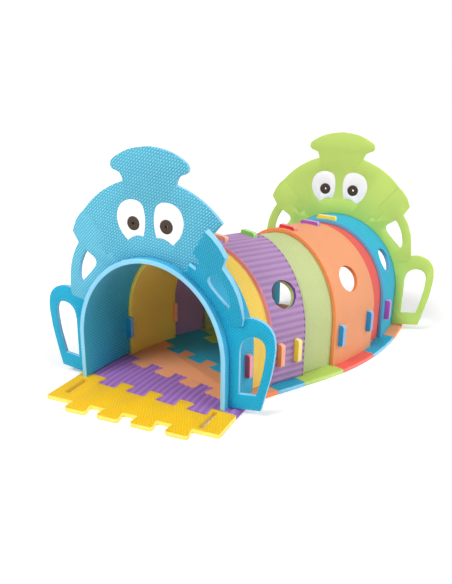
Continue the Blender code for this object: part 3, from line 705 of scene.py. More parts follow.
def sheet_mesh(edges, depth, step, rows, rounding):
    """One bent sheet with rounded cut edges. Points carry their distance round the arch."""
    bm = ribbed_mesh()
    line = edge_profile(rounding, rows)
    places, distances = places_round(step)
    grid, flat = {}, {}
    for column, place in enumerate(places):
        ends = [[cut_station(edge, place, below) for below in (depth, depth + FOAM)] for edge in edges]
        for face_side in (0, 1):
            for row, (end, value, under) in enumerate(line):
                below = under if face_side == 0 else FOAM - under
                first = ends[0][0] + (ends[0][1] - ends[0][0]) * below / FOAM
                last = ends[1][0] + (ends[1][1] - ends[1][0]) * below / FOAM
                if end == "front":
                    station = first + value
                elif end == "rear":
                    station = last - value
                else:
                    station = first + rounding + (last - first - 2.0 * rounding) * value
                ribbed = face_side == 0 and under < rounding * SKIN_SHARE
                vertex = add_point(bm, arch_point(station, place, depth + below), distances[column],
                                   1.0 if ribbed else 0.0)
                grid[column, face_side, row] = vertex
                flat[vertex] = (station, distances[column])
    count = len(line)
    loop = [(0, row) for row in range(count)] + [(1, row) for row in reversed(range(count))]
    for column in range(len(places) - 1):
        for index, (face_side, row) in enumerate(loop):
            after_side, after_row = loop[(index + 1) % len(loop)]
            face = bm.faces.new((grid[column, face_side, row],
                                 grid[column, after_side, after_row],
                                 grid[column + 1, after_side, after_row],
                                 grid[column + 1, face_side, row]))
            low, high = min(row, after_row), max(row, after_row)
            on_side = after_side == face_side
            on_skin = on_side and CORNER_ROWS <= low and high <= count - 1 - CORNER_ROWS
            face.material_index = SKIN if on_skin else CUT
            if not on_skin and high <= CORNER_ROWS:
                face.material_index = FRONT_CUT
    for column in (0, len(places) - 1):
        for row in range(count - 1):
            face = bm.faces.new([grid[column, side, row + after] for after, side in SQUARE])
            face.material_index = CUT
    lay_flat(bm, flat)
    bmesh.ops.recalc_face_normals(bm, faces=bm.faces)
    return bm


def prism(bm, loop, low, high, place):
    rings = [[bm.verts.new(place @ Vector((x, y, z))) for x, y in loop] for z in (low, high)]
    faces = [bm.faces.new(reversed(rings[0])), bm.faces.new(rings[1])]
    for index in range(len(loop)):
        after = (index + 1) % len(loop)
        faces.append(bm.faces.new((rings[0][index], rings[0][after], rings[1][after], rings[1][index])))
    for face in faces:
        face.material_index = CUT


def peg_slot():
    """Corners of the slot that a peg passes through."""
    long, wide = PEG_LENGTH / 2.0 + FIT, FOAM / 2.0 + FIT
    return [(long, -wide), (long, wide), (-long, wide), (-long, -wide)]


def peg_outline(push, inset):
    """A peg's outline along the arch and outwards, drawn in by inset, with points along its sides."""
    half, radius = PEG_LENGTH / 2.0 - PEG_CORNER, PEG_CORNER - inset
    inner, outer = PEG_CORNER - PEG_DEPTH - push, PEG_HEAD - push - PEG_CORNER
    centres = ((half, outer), (-half, outer), (-half, inner), (half, inner))
    loop = []
    for quarter, (x, y) in enumerate(centres):
        for index in range(PEG_CORNER_STEPS + 1):
            turn = math.pi / 2.0 * (quarter + index / PEG_CORNER_STEPS)
            across, up = radius * math.cos(turn), radius * math.sin(turn)
            loop.append((x + across, y + up))
        ahead = centres[(quarter + 1) % len(centres)]
        count = round(math.dist((x, y), ahead) / PEG_STEP)
        for index in range(1, count):
            share = index / count
            loop.append((x + (ahead[0] - x) * share + across, y + (ahead[1] - y) * share + up))
    return loop


def plate_mesh(outline, holes, bands, rounding):
    """A flat foam plate with holes and rounded edges. Its front side is at z 0."""
    points, edges = [], []
    for loop in [outline] + list(holes):
        first, count = len(points), len(loop)
        points += [Vector((point[0], point[1])) for point in loop]
        edges += [(first + index, first + (index + 1) % count) for index in range(count)]
    corners, _, faces, _, _, _ = delaunay_2d_cdt(points, edges, [], KEEP_INSIDE, CLOSE_POINTS)
    sides = [(*points[start], *points[end]) for start, end in edges]
    bm = bmesh.new()
    verts = [bm.verts.new((corner[0], corner[1], 0.0)) for corner in corners]
    for numbers in faces:
        middle = sum((corners[number] for number in numbers), Vector((0.0, 0.0))) / len(numbers)
        if is_inside(middle, sides):
            bm.faces.new([verts[number] for number in numbers])
    made = bmesh.ops.extrude_face_region(bm, geom=list(bm.faces))
    raised = [item for item in made["geom"] if isinstance(item, bmesh.types.BMVert)]
    bmesh.ops.translate(bm, verts=raised, vec=(0.0, 0.0, FOAM))
    bmesh.ops.recalc_face_normals(bm, faces=bm.faces)
    if bands:
        outward = spring_outward()
        for number in range(SPRING_BANDS):
            point = SPRING_START + outward * (SPRING_REACH * number / SPRING_BANDS)
            geometry = list(bm.verts) + list(bm.edges) + list(bm.faces)
            bmesh.ops.bisect_plane(bm, geom=geometry, dist=1e-6, plane_co=(point.x, point.y, 0.0),
                                   plane_no=(outward.x, outward.y, 0.0))
    else:
        bmesh.ops.dissolve_limit(bm, angle_limit=FLAT_ANGLE, verts=bm.verts, edges=bm.edges)
    round_rims(bm, rounding)
    return bm


def is_inside(point, edges):
    inside = False
    for x1, y1, x2, y2 in edges:
        if (y1 > point.y) != (y2 > point.y) and point.x < x1 + (point.y - y1) * (x2 - x1) / (y2 - y1):
            inside = not inside
    return inside


def round_rims(bm, rounding):
    """Rounds the edges between a flat plate's two sides and its walls, and marks skins and cuts."""
    bm.normal_update()
    rims = []
    for edge in bm.edges:
        if len(edge.link_faces) == 2:
            tops = [abs(face.normal.z) > TOP_LEAN for face in edge.link_faces]
            if tops[0] != tops[1]:
                rims.append(edge)
    bmesh.ops.bevel(bm, geom=rims, offset=rounding, offset_type="OFFSET", segments=2, profile=0.5,
                    affect="EDGES", clamp_overlap=True)
    bm.normal_update()
    uv = bm.loops.layers.uv.get("surface") or bm.loops.layers.uv.new("surface")
    for face in bm.faces:
        face.material_index = SKIN if abs(face.normal.z) > SKIN_LEAN else CUT
        for corner in face.loops:
            corner[uv].uv = corner.vert.co.xy


# Node trees of the ribs and the studs

STUD_TURN = math.radians(35.0)
RAY_LENGTH = 0.2


def tree_input(item, tree, values):
    """Adds the tree to the object and sets its inputs by their sockets' identifiers."""
    modifier = item.modifiers.new(tree.name, "NODES")
    modifier.node_group = tree
    for socket in tree.interface.items_tree:
        if socket.in_out == "INPUT" and socket.name in values:
            modifier[socket.identifier] = values[socket.name]


def named(tree, name):
    made = shader_node(tree, "GeometryNodeInputNamedAttribute", data_type="FLOAT")
    made.inputs["Name"].default_value = name
    return made.outputs["Attribute"]


def has_material(tree, number):
    """Picks the faces of one material slot."""
    picked = shader_node(tree, "FunctionNodeCompare", data_type="INT", operation="EQUAL")
    connect(tree, picked.inputs[2], tree.nodes.new("GeometryNodeInputMaterialIndex").outputs[0])
    picked.inputs[3].default_value = number
    return picked.outputs[0]


def add_vectors(tree, first, second):
    made = shader_node(tree, "ShaderNodeVectorMath", operation="ADD")
    connect(tree, made.inputs[0], first)
    connect(tree, made.inputs[1], second)
    return made.outputs[0]


def rib_tree():
    """Presses even ribs into the marked points of a skin, along lines of equal distance round."""
    found = bpy.data.node_groups.get("Foam Ribs")
    if found:
        return found
    tree, given, result = new_group(
        "Foam Ribs", "GeometryNodeTree",
        [("Geometry", GEOMETRY, None), ("Rib Pitch", FLOAT, 0.013), ("Rib Depth", FLOAT, 0.002),
         ("Sharpness", FLOAT, 1.0), ("Skin", MATERIAL, None)],
        [("Geometry", GEOMETRY, None)])
    turns = maths(tree, "DIVIDE", named(tree, "around"), given["Rib Pitch"])
    wave = maths(tree, "COSINE", maths(tree, "MULTIPLY", turns, 2.0 * math.pi))
    hollow = maths(tree, "MULTIPLY_ADD", wave, 0.5, 0.5)
    hollow = maths(tree, "POWER", hollow, given["Sharpness"])
    hollow = maths(tree, "MULTIPLY", hollow, named(tree, "rib"))
    # How deep in a hollow each point lies is stored, and the materials darken it as painted shade
    noted = shader_node(tree, "GeometryNodeStoreNamedAttribute",
                        {"Geometry": given["Geometry"], "Name": "hollow"},
                        data_type="FLOAT", domain="POINT")
    connect(tree, noted.inputs["Value"], hollow)
    depth = maths(tree, "MULTIPLY", hollow, given["Rib Depth"])
    inward = shader_node(tree, "ShaderNodeVectorMath", operation="SCALE")
    connect(tree, inward.inputs[0], tree.nodes.new("GeometryNodeInputNormal").outputs[0])
    connect(tree, inward.inputs["Scale"], maths(tree, "MULTIPLY", depth, -1.0))
    moved = shader_node(tree, "GeometryNodeSetPosition",
                        {"Geometry": noted.outputs[0], "Offset": inward.outputs[0]})
    real = shader_node(tree, "GeometryNodeRealizeInstances", {"Geometry": moved.outputs[0]})
    dressed = shader_node(tree, "GeometryNodeSetMaterial", {"Geometry": real.outputs[0],
                          "Selection": has_material(tree, SKIN), "Material": given["Skin"]})
    connect(tree, result["Geometry"], dressed.outputs[0])
    return tree


def stud_tree():
    """Small raised dashes in staggered rows on the top of a flat mat, clear of its edges."""
    tree, given, result = new_group(
        "Mat Studs", "GeometryNodeTree",
        [("Geometry", GEOMETRY, None), ("Stud Pitch", FLOAT, 0.0085), ("Stud Length", FLOAT, 0.006),
         ("Stud Width", FLOAT, 0.0042), ("Stud Height", FLOAT, 0.0009), ("Field Width", FLOAT, 0.62),
         ("Field Depth", FLOAT, 0.24), ("Centre", VECTOR, None), ("Margin", FLOAT, 0.004),
         ("Skin", MATERIAL, None)],
        [("Geometry", GEOMETRY, None)])
    field = tree.nodes.new("GeometryNodeMeshGrid")
    for axis, size in (("X", given["Field Width"]), ("Y", given["Field Depth"])):
        count = maths(tree, "ROUND", maths(tree, "DIVIDE", size, given["Stud Pitch"]))
        connect(tree, field.inputs["Size " + axis], size)
        connect(tree, field.inputs["Vertices " + axis], count)
    position = tree.nodes.new("GeometryNodeInputPosition").outputs[0]
    back = shader_node(tree, "ShaderNodeSeparateXYZ", {"Vector": position}).outputs["Y"]
    row = maths(tree, "ADD", maths(tree, "DIVIDE", back, given["Stud Pitch"]), 0.5)
    row = maths(tree, "FLOOR", row)
    odd = maths(tree, "FLOORED_MODULO", row, 2.0)
    stagger = maths(tree, "MULTIPLY", maths(tree, "MULTIPLY", odd, 0.5), given["Stud Pitch"])
    aside = shader_node(tree, "ShaderNodeCombineXYZ", {"X": stagger})
    place = add_vectors(tree, aside.outputs[0], given["Centre"])
    spread = shader_node(tree, "GeometryNodeSetPosition", {"Geometry": field.outputs["Mesh"],
                         "Offset": place})
    # A stud stays where the mat's top is under it and the cut edges aren't near.
    above = add_vectors(tree, position, (0.0, 0.0, RAY_LENGTH / 2.0))
    hit = shader_node(tree, "GeometryNodeRaycast", {"Target Geometry": given["Geometry"],
                      "Source Position": above, "Ray Direction": (0.0, 0.0, -1.0),
                      "Ray Length": RAY_LENGTH})
    rim = shader_node(tree, "GeometryNodeSeparateGeometry",
                      {"Geometry": given["Geometry"], "Selection": has_material(tree, CUT)},
                      domain="FACE")
    near = shader_node(tree, "GeometryNodeProximity", {"Geometry": rim.outputs[0]},
                       target_element="FACES")
    clear = maths(tree, "GREATER_THAN", near.outputs["Distance"], given["Margin"])
    kept = maths(tree, "MULTIPLY", hit.outputs["Is Hit"], clear)
    ball = shader_node(tree, "GeometryNodeMeshUVSphere", {"Segments": 8, "Rings": 4, "Radius": 0.5})
    size = shader_node(tree, "ShaderNodeCombineXYZ",
                       {"X": given["Stud Length"], "Y": given["Stud Width"],
                        "Z": maths(tree, "MULTIPLY", given["Stud Height"], 2.0)})
    studs = shader_node(tree, "GeometryNodeInstanceOnPoints",
                        {"Points": spread.outputs[0], "Selection": kept, "Instance": ball.outputs["Mesh"],
                         "Scale": size.outputs[0], "Rotation": Euler((0.0, 0.0, STUD_TURN))})
    smooth = shader_node(tree, "GeometryNodeSetShadeSmooth", {"Geometry": studs.outputs[0]})
    real = shader_node(tree, "GeometryNodeRealizeInstances", {"Geometry": smooth.outputs[0]})
    dressed = shader_node(tree, "GeometryNodeSetMaterial",
                          {"Geometry": real.outputs[0], "Material": given["Skin"]})
    joined = tree.nodes.new("GeometryNodeJoinGeometry")
    tree.links.new(dressed.outputs[0], joined.inputs[0])
    tree.links.new(given["Geometry"], joined.inputs[0])
    connect(tree, result["Geometry"], joined.outputs[0])
    return tree


def press_ribs(item, ribs, sharp=None):
    """Presses ribs into the object's skin. ribs is (pitch, depth, sharpness)."""
    values = {"Rib Pitch": ribs[0], "Rib Depth": ribs[1], "Sharpness": ribs[2],
              "Skin": item.data.materials[SKIN]}
    tree_input(item, rib_tree(), values)
    settle(item, sharp)


# Pieces

WINDOW_STEPS, PUPIL_STEPS, PUPIL_HOLE_STEPS = 72, 56, 24
TOOL_DEPTH, TOOL_RISE = 4.0 * FOAM, 2.0 * FOAM  # how far an opening's tool goes in and stands out
TAB_PARTS, TAB_TOP = 6, FOOT + 0.001
TAB_GAP, TAB_LEAST = 0.035, 0.02  # least gap between two foot tabs, and least length of one
SLAB_WIDTH, SLAB_START, SLAB_LENGTH, SLAB_ROWS = 0.70, -0.06, 0.24, 24
TOOL_TOP, TOOL_FOOT = 0.03, -0.02  # heights of the tool that cuts the ribbed tile's outline
GRIP_SHARPNESS = 2.0
PEG_CORNER_STEPS = 8
PEG_EDGE_SHARE = 0.3  # of the rounding, at the middle of a peg's rounded edge


def arch(name, edges, depth, materials, seams, windows, sizes, ribs=None, tabs=()):
    """One arch sheet with its peg slots and windows. ribs is (pitch, depth, sharpness).

    A third material, where there is one, is that of the front cut edge.
    """
    step = ribs[0] / RIB_PARTS if ribs else ARCH_STEP
    bm = sheet_mesh(edges, depth, step, ARCH_ROWS, sizes.edge_rounding)
    if len(materials) == 2:
        materials = materials + [materials[CUT]]
    item = make_object(name + "_foam", bm, materials)
    if ribs:
        press_ribs(item, ribs)
    tool_mesh = bmesh.new()
    for seam in seams:
        for place in SEAM_PLACES:
            prism(tool_mesh, peg_slot(), -TOOL_DEPTH, TOOL_RISE, peg_frame(f"peg_{seam}_{place}"))
    for window in windows:
        for seat in window_frames(WINDOW_STATIONS[window]):
            loop = circle((0.0, 0.0), WINDOW_RADIUS, WINDOW_STEPS)
            prism(tool_mesh, loop, -TOOL_DEPTH, TOOL_RISE, seat)
    tool = make_object("openings", tool_mesh, materials)
    use_boolean(item, tool)
    if tabs:
        add_tabs(item, tabs)
    finish_piece(item, name, "tunnel")


def add_tabs(item, tabs):
    """Adds the foot tabs that stand in the floor slots: (side, first station, last station)."""
    bm = bmesh.new()
    bm.from_mesh(item.data)
    corners = ((0.0, FIT), (FOAM, FIT), (FOAM, TAB_TOP), (0.0, TAB_TOP))
    for side, first, last in tabs:
        rings = []
        for index in range(TAB_PARTS + 1):
            station = first + (last - first) * index / TAB_PARTS
            rings.append([bm.verts.new(arch_point(station, (side, height), INNER + below))
                          for below, height in corners])
        faces = [bm.faces.new(rings[0]), bm.faces.new(reversed(rings[-1]))]
        for before, after in zip(rings, rings[1:]):
            for index in range(len(corners)):
                other = (index + 1) % len(corners)
                faces.append(bm.faces.new((before[index], after[index], after[other], before[other])))
        bmesh.ops.recalc_face_normals(bm, faces=faces)
        for face in faces:
            face.material_index = CUT
    bm.to_mesh(item.data)
    bm.free()


def tabs_of(name):
    """Foot tabs of an inner sheet, read from the low corners of its solid."""
    low = [vertex.co for vertex in frame["nodes"][name].data.vertices if vertex.co.z < FOAM / 2.0]
    stations = {1: [], -1: []}
    for corner in low:
        station = nearest_station(corner.xy)
        angle = heading(station)
        offset = (corner.xy - route(station)).dot(Vector((math.cos(angle), -math.sin(angle))))
        ahead = (corner.xy - route(station)).dot(Vector((math.sin(angle), math.cos(angle))))
        stations[1 if offset > 0.0 else -1].append(station + ahead)
    tabs = []
    for side, found in stations.items():
        runs = []
        for station in sorted(set(round(station, 5) for station in found)):
            if runs and station - runs[-1][-1] <= TAB_GAP:
                runs[-1].append(station)
            else:
                runs.append([station])
        tabs += [(side, run[0], run[-1]) for run in runs if run[-1] - run[0] > TAB_LEAST]
    return tabs


def face_piece(name, outline, holes, materials, station, side=1, sprung=False,
               rounding=PANEL_ROUNDING):
    """A panel piece, made flat and then stood upright across the route."""
    bm = plate_mesh(outline, holes, sprung, rounding)
    middle = route(station)
    for vertex in bm.verts:
        across, back, up = vertex.co.x, vertex.co.z, vertex.co.y
        if sprung:
            across, back, up = sprung_point(vertex.co.xy, vertex.co.z)
        vertex.co = (middle.x + side * across, middle.y + back, up)
    bmesh.ops.recalc_face_normals(bm, faces=bm.faces)
    item = make_object(name + "_foam", bm, materials)
    finish_piece(item, name, "tunnel")


def solid_copy(node):
    """The solid's mesh with its doubles merged."""
    bm = bmesh.new()
    bm.from_mesh(frame["nodes"][node].data)
    bmesh.ops.remove_doubles(bm, verts=bm.verts, dist=1e-5)
    bmesh.ops.dissolve_limit(bm, angle_limit=FLAT_ANGLE, verts=bm.verts, edges=bm.edges)
    return bm


def tile(name, materials, rounding):
    bm = solid_copy(name)
    round_rims(bm, rounding)
    item = make_object(name + "_foam", bm, materials)
    finish_piece(item, name, "tunnel")


def ribbed_tile(name, materials, sizes):
    """A tile whose top has ribs along the tunnel: a ribbed slab, cut to the tile's outline."""
    bm = ribbed_mesh()
    columns, rows = round(SLAB_WIDTH / (sizes.rib_pitch / RIB_PARTS)), SLAB_ROWS
    grid, flat = {}, {}
    for column in range(columns + 1):
        offset = -SLAB_WIDTH / 2.0 + SLAB_WIDTH * column / columns
        for row in range(rows + 1):
            station = SLAB_START + SLAB_LENGTH * row / rows
            middle, angle = route(station), heading(station)
            x, y = middle.x + offset * math.cos(angle), middle.y - offset * math.sin(angle)
            for layer, height in enumerate((FOAM, 0.0)):
                vertex = add_point(bm, (x, y, height), offset, 1.0 - layer)
                grid[column, row, layer] = vertex
                flat[vertex] = (station, offset)
    for column in range(columns):
        for row in range(rows):
            for layer in (0, 1):
                bm.faces.new([grid[column + i, row + j, layer] for i, j in SQUARE])
        for row in (0, rows):
            bm.faces.new([grid[column + i, row, layer] for i, layer in SQUARE])
    for row in range(rows):
        for column in (0, columns):
            bm.faces.new([grid[column, row + j, layer] for j, layer in SQUARE])
    lay_flat(bm, flat)
    bmesh.ops.recalc_face_normals(bm, faces=bm.faces)
    item = make_object(name + "_foam", bm, materials)
    press_ribs(item, (sizes.rib_pitch, sizes.rib_depth, 1.0))
    tool_mesh = solid_copy(name)
    for vertex in tool_mesh.verts:
        vertex.co.z = TOOL_TOP if vertex.co.z > FOAM / 2.0 else TOOL_FOOT
    for face in tool_mesh.faces:
        face.material_index = CUT
    use_boolean(item, make_object("outline", tool_mesh, materials), "INTERSECT")
    finish_piece(item, name, "tunnel")


def peg(name, materials, sizes):
    """One peg cut from a sheet of foam, with gripping ribs round its cut edge."""
    soft, half = sizes.edge_rounding, FOAM / 2.0
    part = PEG_EDGE_SHARE * soft
    layers = [(-half, soft), (part - half, part), (soft - half, 0.0),
              (half - soft, 0.0), (half - part, part), (half, soft)]
    seat = peg_frame(name)
    bm = ribbed_mesh()
    rings, flat = [], {}
    for height, inset in layers:
        loop = peg_outline(peg_push(name), inset)
        ring, run = [], 0.0
        for index, (x, y) in enumerate(loop):
            if index:
                run += math.dist(loop[index - 1], (x, y))
            vertex = add_point(bm, seat @ Vector((x, -height, y)), run, 1.0 if inset == 0.0 else 0.0)
            flat[vertex] = (x, y + height)
            ring.append(vertex)
        rings.append(ring)
    caps = [bm.faces.new(list(reversed(rings[0]))), bm.faces.new(rings[-1])]
    for low, high in zip(rings, rings[1:]):
        for index in range(len(low)):
            after = (index + 1) % len(low)
            bm.faces.new((low[index], low[after], high[after], high[index])).material_index = CUT
    lay_flat(bm, flat)
    for cap in caps:
        cap.material_index = SKIN
    item = make_object(name + "_foam", bm, materials)
    press_ribs(item, (sizes.grip_pitch, sizes.grip_depth, GRIP_SHARPNESS), SHARP_PEG)
    finish_piece(item, name, name + "_body")


# Sizes and colours a user may change

def linear(red, green, blue):
    """Display values from 0 to 255 as linear light."""
    return tuple(((value / 255.0 + 0.055) / 1.055) ** 2.4 for value in (red, green, blue))


def colour_property(title, *display):
    return FloatVectorProperty(name=title, description=title + " of the foam", subtype="COLOR", size=3,
                               min=0.0, max=1.0, default=linear(*display))


def length_property(title, description, default):
    return FloatProperty(name=title, description=description, default=default, min=0.0,
                         subtype="DISTANCE", unit="LENGTH", precision=4)


class TunnelSizes(bpy.types.PropertyGroup):
    """Fine sizes of the foam's looks."""
    edge_rounding: length_property("Edge rounding", "Radius of the foam's cut edges", 0.0012)
    rib_pitch: length_property("Rib pitch", "Distance between the wide ribs of the purple foam", 0.0215)
    rib_depth: length_property("Rib depth", "Depth of the hollows between the wide ribs", 0.0032)
    fine_rib_pitch: length_property("Fine rib pitch", "Distance between the rear sleeve's ribs", 0.0070)
    fine_rib_depth: length_property("Fine rib depth", "Depth between the rear sleeve's ribs", 0.0007)
    grip_pitch: length_property("Grip pitch", "Distance between the ribs round a peg", 0.0046)
    grip_depth: length_property("Grip depth", "Depth between the ribs round a peg", 0.0007)
    stud_pitch: length_property("Stud pitch", "Distance between the studs of the doorstep mat", 0.0085)
    stud_height: length_property("Stud height", "Height of the studs of the doorstep mat", 0.0009)


class TunnelColours(bpy.types.PropertyGroup):
    """Colours of the foam's skins and of its cut edges."""
    # Panel blue painted lighter, as painted light on the head and the left shoulder
    panel_blue_painted_light: colour_property("Panel blue painted lighter", 130, 210, 236)
    panel_blue: colour_property("Panel blue", 4, 184, 226)
    # Sleeve blue painted lighter than the panel blue, as painted sheen where light grazes the sleeve
    sleeve_blue_painted_light: colour_property("Sleeve blue painted lighter", 98, 200, 238)
    cut_blue: colour_property("Cut blue", 140, 206, 236)
    yellow: colour_property("Yellow", 255, 219, 112)
    # The mat's top is painted deeper and its studs lighter: painted shade between the studs and painted
    # light on them
    mat_yellow_painted_shade: colour_property("Mat yellow painted deeper", 237, 184, 31)
    mat_stud_painted_light: colour_property("Mat stud painted lighter", 255, 218, 60)
    # The walls of the mat's slots painted deeper, as painted shade in the slots
    mat_slot_painted_shade: colour_property("Mat slot painted shade", 224, 184, 62)
    cut_yellow: colour_property("Cut yellow", 255, 228, 104)
    purple: colour_property("Purple", 182, 148, 190)
    tile_purple: colour_property("Tile purple", 172, 128, 200)
    cut_purple: colour_property("Cut purple", 140, 80, 164)
    cut_salmon: colour_property("Cut salmon", 250, 152, 172)
    lime: colour_property("Lime", 201, 213, 154)
    cut_lime: colour_property("Cut lime", 196, 222, 128)
    orange: colour_property("Orange", 237, 162, 120)
    cut_orange: colour_property("Cut orange", 246, 142, 82)
    red: colour_property("Red", 230, 102, 94)
    cut_red: colour_property("Cut red", 242, 130, 122)
    rear_blue: colour_property("Rear blue", 68, 187, 221)
    cut_rear_blue: colour_property("Cut rear blue", 96, 178, 222)
    green: colour_property("Green", 202, 230, 122)
    cut_green: colour_property("Cut green", 196, 226, 130)
    white: colour_property("White", 254, 254, 254)
    brown: colour_property("Brown", 66, 50, 38)
    peg_rose: colour_property("Peg rose", 255, 106, 128)
    peg_cyan: colour_property("Peg cyan", 44, 160, 214)
    peg_orange: colour_property("Peg orange", 255, 150, 84)
    peg_salmon: colour_property("Peg salmon", 254, 156, 126)
    peg_yellow: colour_property("Peg yellow", 255, 226, 80)
    peg_green: colour_property("Peg green", 136, 206, 72)
    peg_sky: colour_property("Peg sky", 56, 146, 204)
    peg_red: colour_property("Peg red", 232, 66, 66)
    peg_purple: colour_property("Peg purple", 172, 92, 184)


PEG_COLOURS = {
    "sleeve_yellow": ("rose", "cyan", "cyan"), "yellow_purple": ("orange", "salmon", "orange"),
    "purple_lime": ("yellow", "green", "yellow"), "lime_orange": ("sky", "red", "sky"),
    "orange_red": ("sky", "purple", "sky"), "red_sleeve": ("purple", "yellow", "purple"),
}


class TUNNEL_OT_sleeves(bpy.types.Operator):
    """Make the two end sleeves, the rear one with fine ribs"""
    bl_idname = "tunnel.sleeves"
    bl_label = "End Sleeves"

    def execute(self, context):
        sizes, colours = context.scene.tunnel_sizes, context.scene.tunnel_colours
        # The front sleeve's skin is painted lighter, as painted sheen where light grazes it
        blue = finishes(colours, "sleeve_blue_painted_light", "cut_blue", "diamonds")
        arch("front_sleeve", FRONT_SLEEVE, OUTER, blue, ("sleeve_yellow",), (), sizes)
        rear = finishes(colours, "rear_blue", "cut_rear_blue", "fine")
        arch("rear_sleeve", REAR_SLEEVE, OUTER, rear, ("red_sleeve",), ("rear",), sizes,
             ribs=(sizes.fine_rib_pitch, sizes.fine_rib_depth, 1.0))
        return {"FINISHED"}


class TUNNEL_OT_outer_arches(bpy.types.Operator):
    """Make the ribbed purple arch and the orange arch"""
    bl_idname = "tunnel.outer_arches"
    bl_label = "Outer Arches"

    def execute(self, context):
        sizes, colours = context.scene.tunnel_sizes, context.scene.tunnel_colours
        purple = finishes(colours, "purple", "cut_purple", "fine")
        purple.append(foam_material("foam_cut_cut_salmon", colours.cut_salmon))
        arch("purple_arch", PURPLE, OUTER, purple, ("yellow_purple", "purple_lime"),
             ("purple",), sizes, ribs=(sizes.rib_pitch, sizes.rib_depth, 1.0))
        orange = finishes(colours, "orange", "cut_orange", "fine")
        arch("orange_arch", ORANGE, OUTER, orange, ("lime_orange", "orange_red"),
             ("orange",), sizes)
        return {"FINISHED"}


class TUNNEL_OT_inner_arches(bpy.types.Operator):
    """Make the yellow, lime and red arches that stand in the floor slots"""
    bl_idname = "tunnel.inner_arches"
    bl_label = "Inner Arches"

    def execute(self, context):
        sizes, colours = context.scene.tunnel_sizes, context.scene.tunnel_colours
        for name, edges, pattern, seams, windows in (
                ("yellow", YELLOW, "squares", ("sleeve_yellow", "yellow_purple"), ("purple",)),
                ("lime", LIME, "small_diamonds", ("purple_lime", "lime_orange"), ("purple", "orange")),
                ("red", RED, "fine", ("orange_red", "red_sleeve"), ("orange", "rear"))):
            node = name + "_arch"
            materials = finishes(colours, name, "cut_" + name, pattern)
            arch(node, edges, INNER, materials, seams, windows, sizes, tabs=tabs_of(node))
        return {"FINISHED"}


def paint_slot_shade(item, material):
    """Paints shade on the walls of the doorstep mat's two slots, in a deeper colour.

    The studs leave one material slot of the mesh empty, and the painted shade takes it.
    """
    empty = list(item.data.materials).index(None)
    item.data.materials[empty] = material
    middle = HALF_WIDTH - INNER - FOAM / 2.0
    _, strip_middle, strip_reach = SLOT_STRIP
    for face in item.data.polygons:
        aside = abs(abs(face.center.x) - middle) < FOAM / 2.0 + 3.0 * SLOT_PLAY
        within = abs(face.center.y - strip_middle) < strip_reach
        if aside and within and abs(face.normal.z) < SKIN_LEAN:
            face.material_index = empty


class TUNNEL_OT_mat(bpy.types.Operator):
    """Make the doorstep mat with its studs"""
    bl_idname = "tunnel.mat"
    bl_label = "Doorstep Mat"

    def execute(self, context):
        sizes, colours = context.scene.tunnel_sizes, context.scene.tunnel_colours
        # The mat's top is painted deeper and its studs lighter: painted shade between the studs and
        # painted light on them
        materials = finishes(colours, "mat_yellow_painted_shade", "cut_yellow", "fine")
        studs = foam_material("foam_skin_mat_studs_painted_light", colours.mat_stud_painted_light, "fine")
        bm = solid_copy("doorstep_mat")
        round_rims(bm, sizes.edge_rounding * TILE_ROUNDING)
        item = make_object("doorstep_mat_foam", bm, materials)
        low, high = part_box("doorstep_mat")
        values = {"Stud Pitch": sizes.stud_pitch, "Stud Height": sizes.stud_height, "Skin": studs,
                  "Centre": ((low[0] + high[0]) / 2.0, (low[1] + high[1]) / 2.0, FOAM)}
        tree_input(item, stud_tree(), values)
        settle(item)
        paint_slot_shade(item, foam_material("foam_cut_mat_slot_painted_shade", colours.mat_slot_painted_shade))
        finish_piece(item, "doorstep_mat", "tunnel")
        return {"FINISHED"}


class TUNNEL_OT_tiles(bpy.types.Operator):
    """Make the floor tiles, the first one ribbed along the tunnel"""
    bl_idname = "tunnel.tiles"
    bl_label = "Floor Tiles"

    def execute(self, context):
        sizes, colours = context.scene.tunnel_sizes, context.scene.tunnel_colours
        purple = finishes(colours, "tile_purple", "cut_purple", "fine")
        ribbed_tile("floor_tile_purple", purple, sizes)
        for name, slot, skin, cut, pattern in (
                ("orange", "foam_orange", "orange", "cut_orange", "fine"),
                ("blue", "foam_blue", "panel_blue", "cut_blue", "dashes"),
                ("lime", "foam_lime", "green", "cut_lime", "diamonds"),
                ("red", "foam_red", "red", "cut_red", "fine"),
                ("rear_blue", "foam_blue", "panel_blue", "cut_blue", "dashes"),
                ("rear_orange", "foam_orange", "orange", "cut_orange", "fine")):
            materials = finishes(colours, skin, cut, pattern)
            tile("floor_tile_" + name, materials, sizes.edge_rounding * TILE_ROUNDING)
        return {"FINISHED"}


# Each face: its end, station, slot, cut edge and sprung side
FACES = (("front", 0.0, "foam_blue", "cut_blue", "right"),
         ("rear", ROUTE_LENGTH, "foam_green", "cut_green", None))
SIDES = ((1, "right"), (-1, "left"))
# Skin and pattern of each part of the front face, and of all of the rear one
FRONT_SKINS = {
    # The head and the left shoulder take panel blue painted lighter, as painted light on the upper left
    "front_head": ("panel_blue_painted_light", "dashes"),
    "front_left_shoulder": ("panel_blue_painted_light", "diamonds"),
    "front_right_shoulder": ("panel_blue", "columns"),
    "front_left_hand": ("panel_blue", "diamonds"),
    "front_right_hand": ("panel_blue", "diamonds"),
}
REAR_SKIN = ("green", "fine")


def face_finishes(colours, name, cut):
    skin, pattern = FRONT_SKINS.get(name, REAR_SKIN)
    return finishes(colours, skin, cut, pattern)


class TUNNEL_OT_heads(bpy.types.Operator):
    """Make the head of each face panel"""
    bl_idname = "tunnel.heads"
    bl_label = "Heads"

    def execute(self, context):
        colours = context.scene.tunnel_colours
        eye = eye_outline()
        for end, station, slot, cut, _ in FACES:
            name = end + "_head"
            materials = face_finishes(colours, name, cut)
            face_piece(name, head_outline(), [eye, flip(eye)], materials, station)
        return {"FINISHED"}


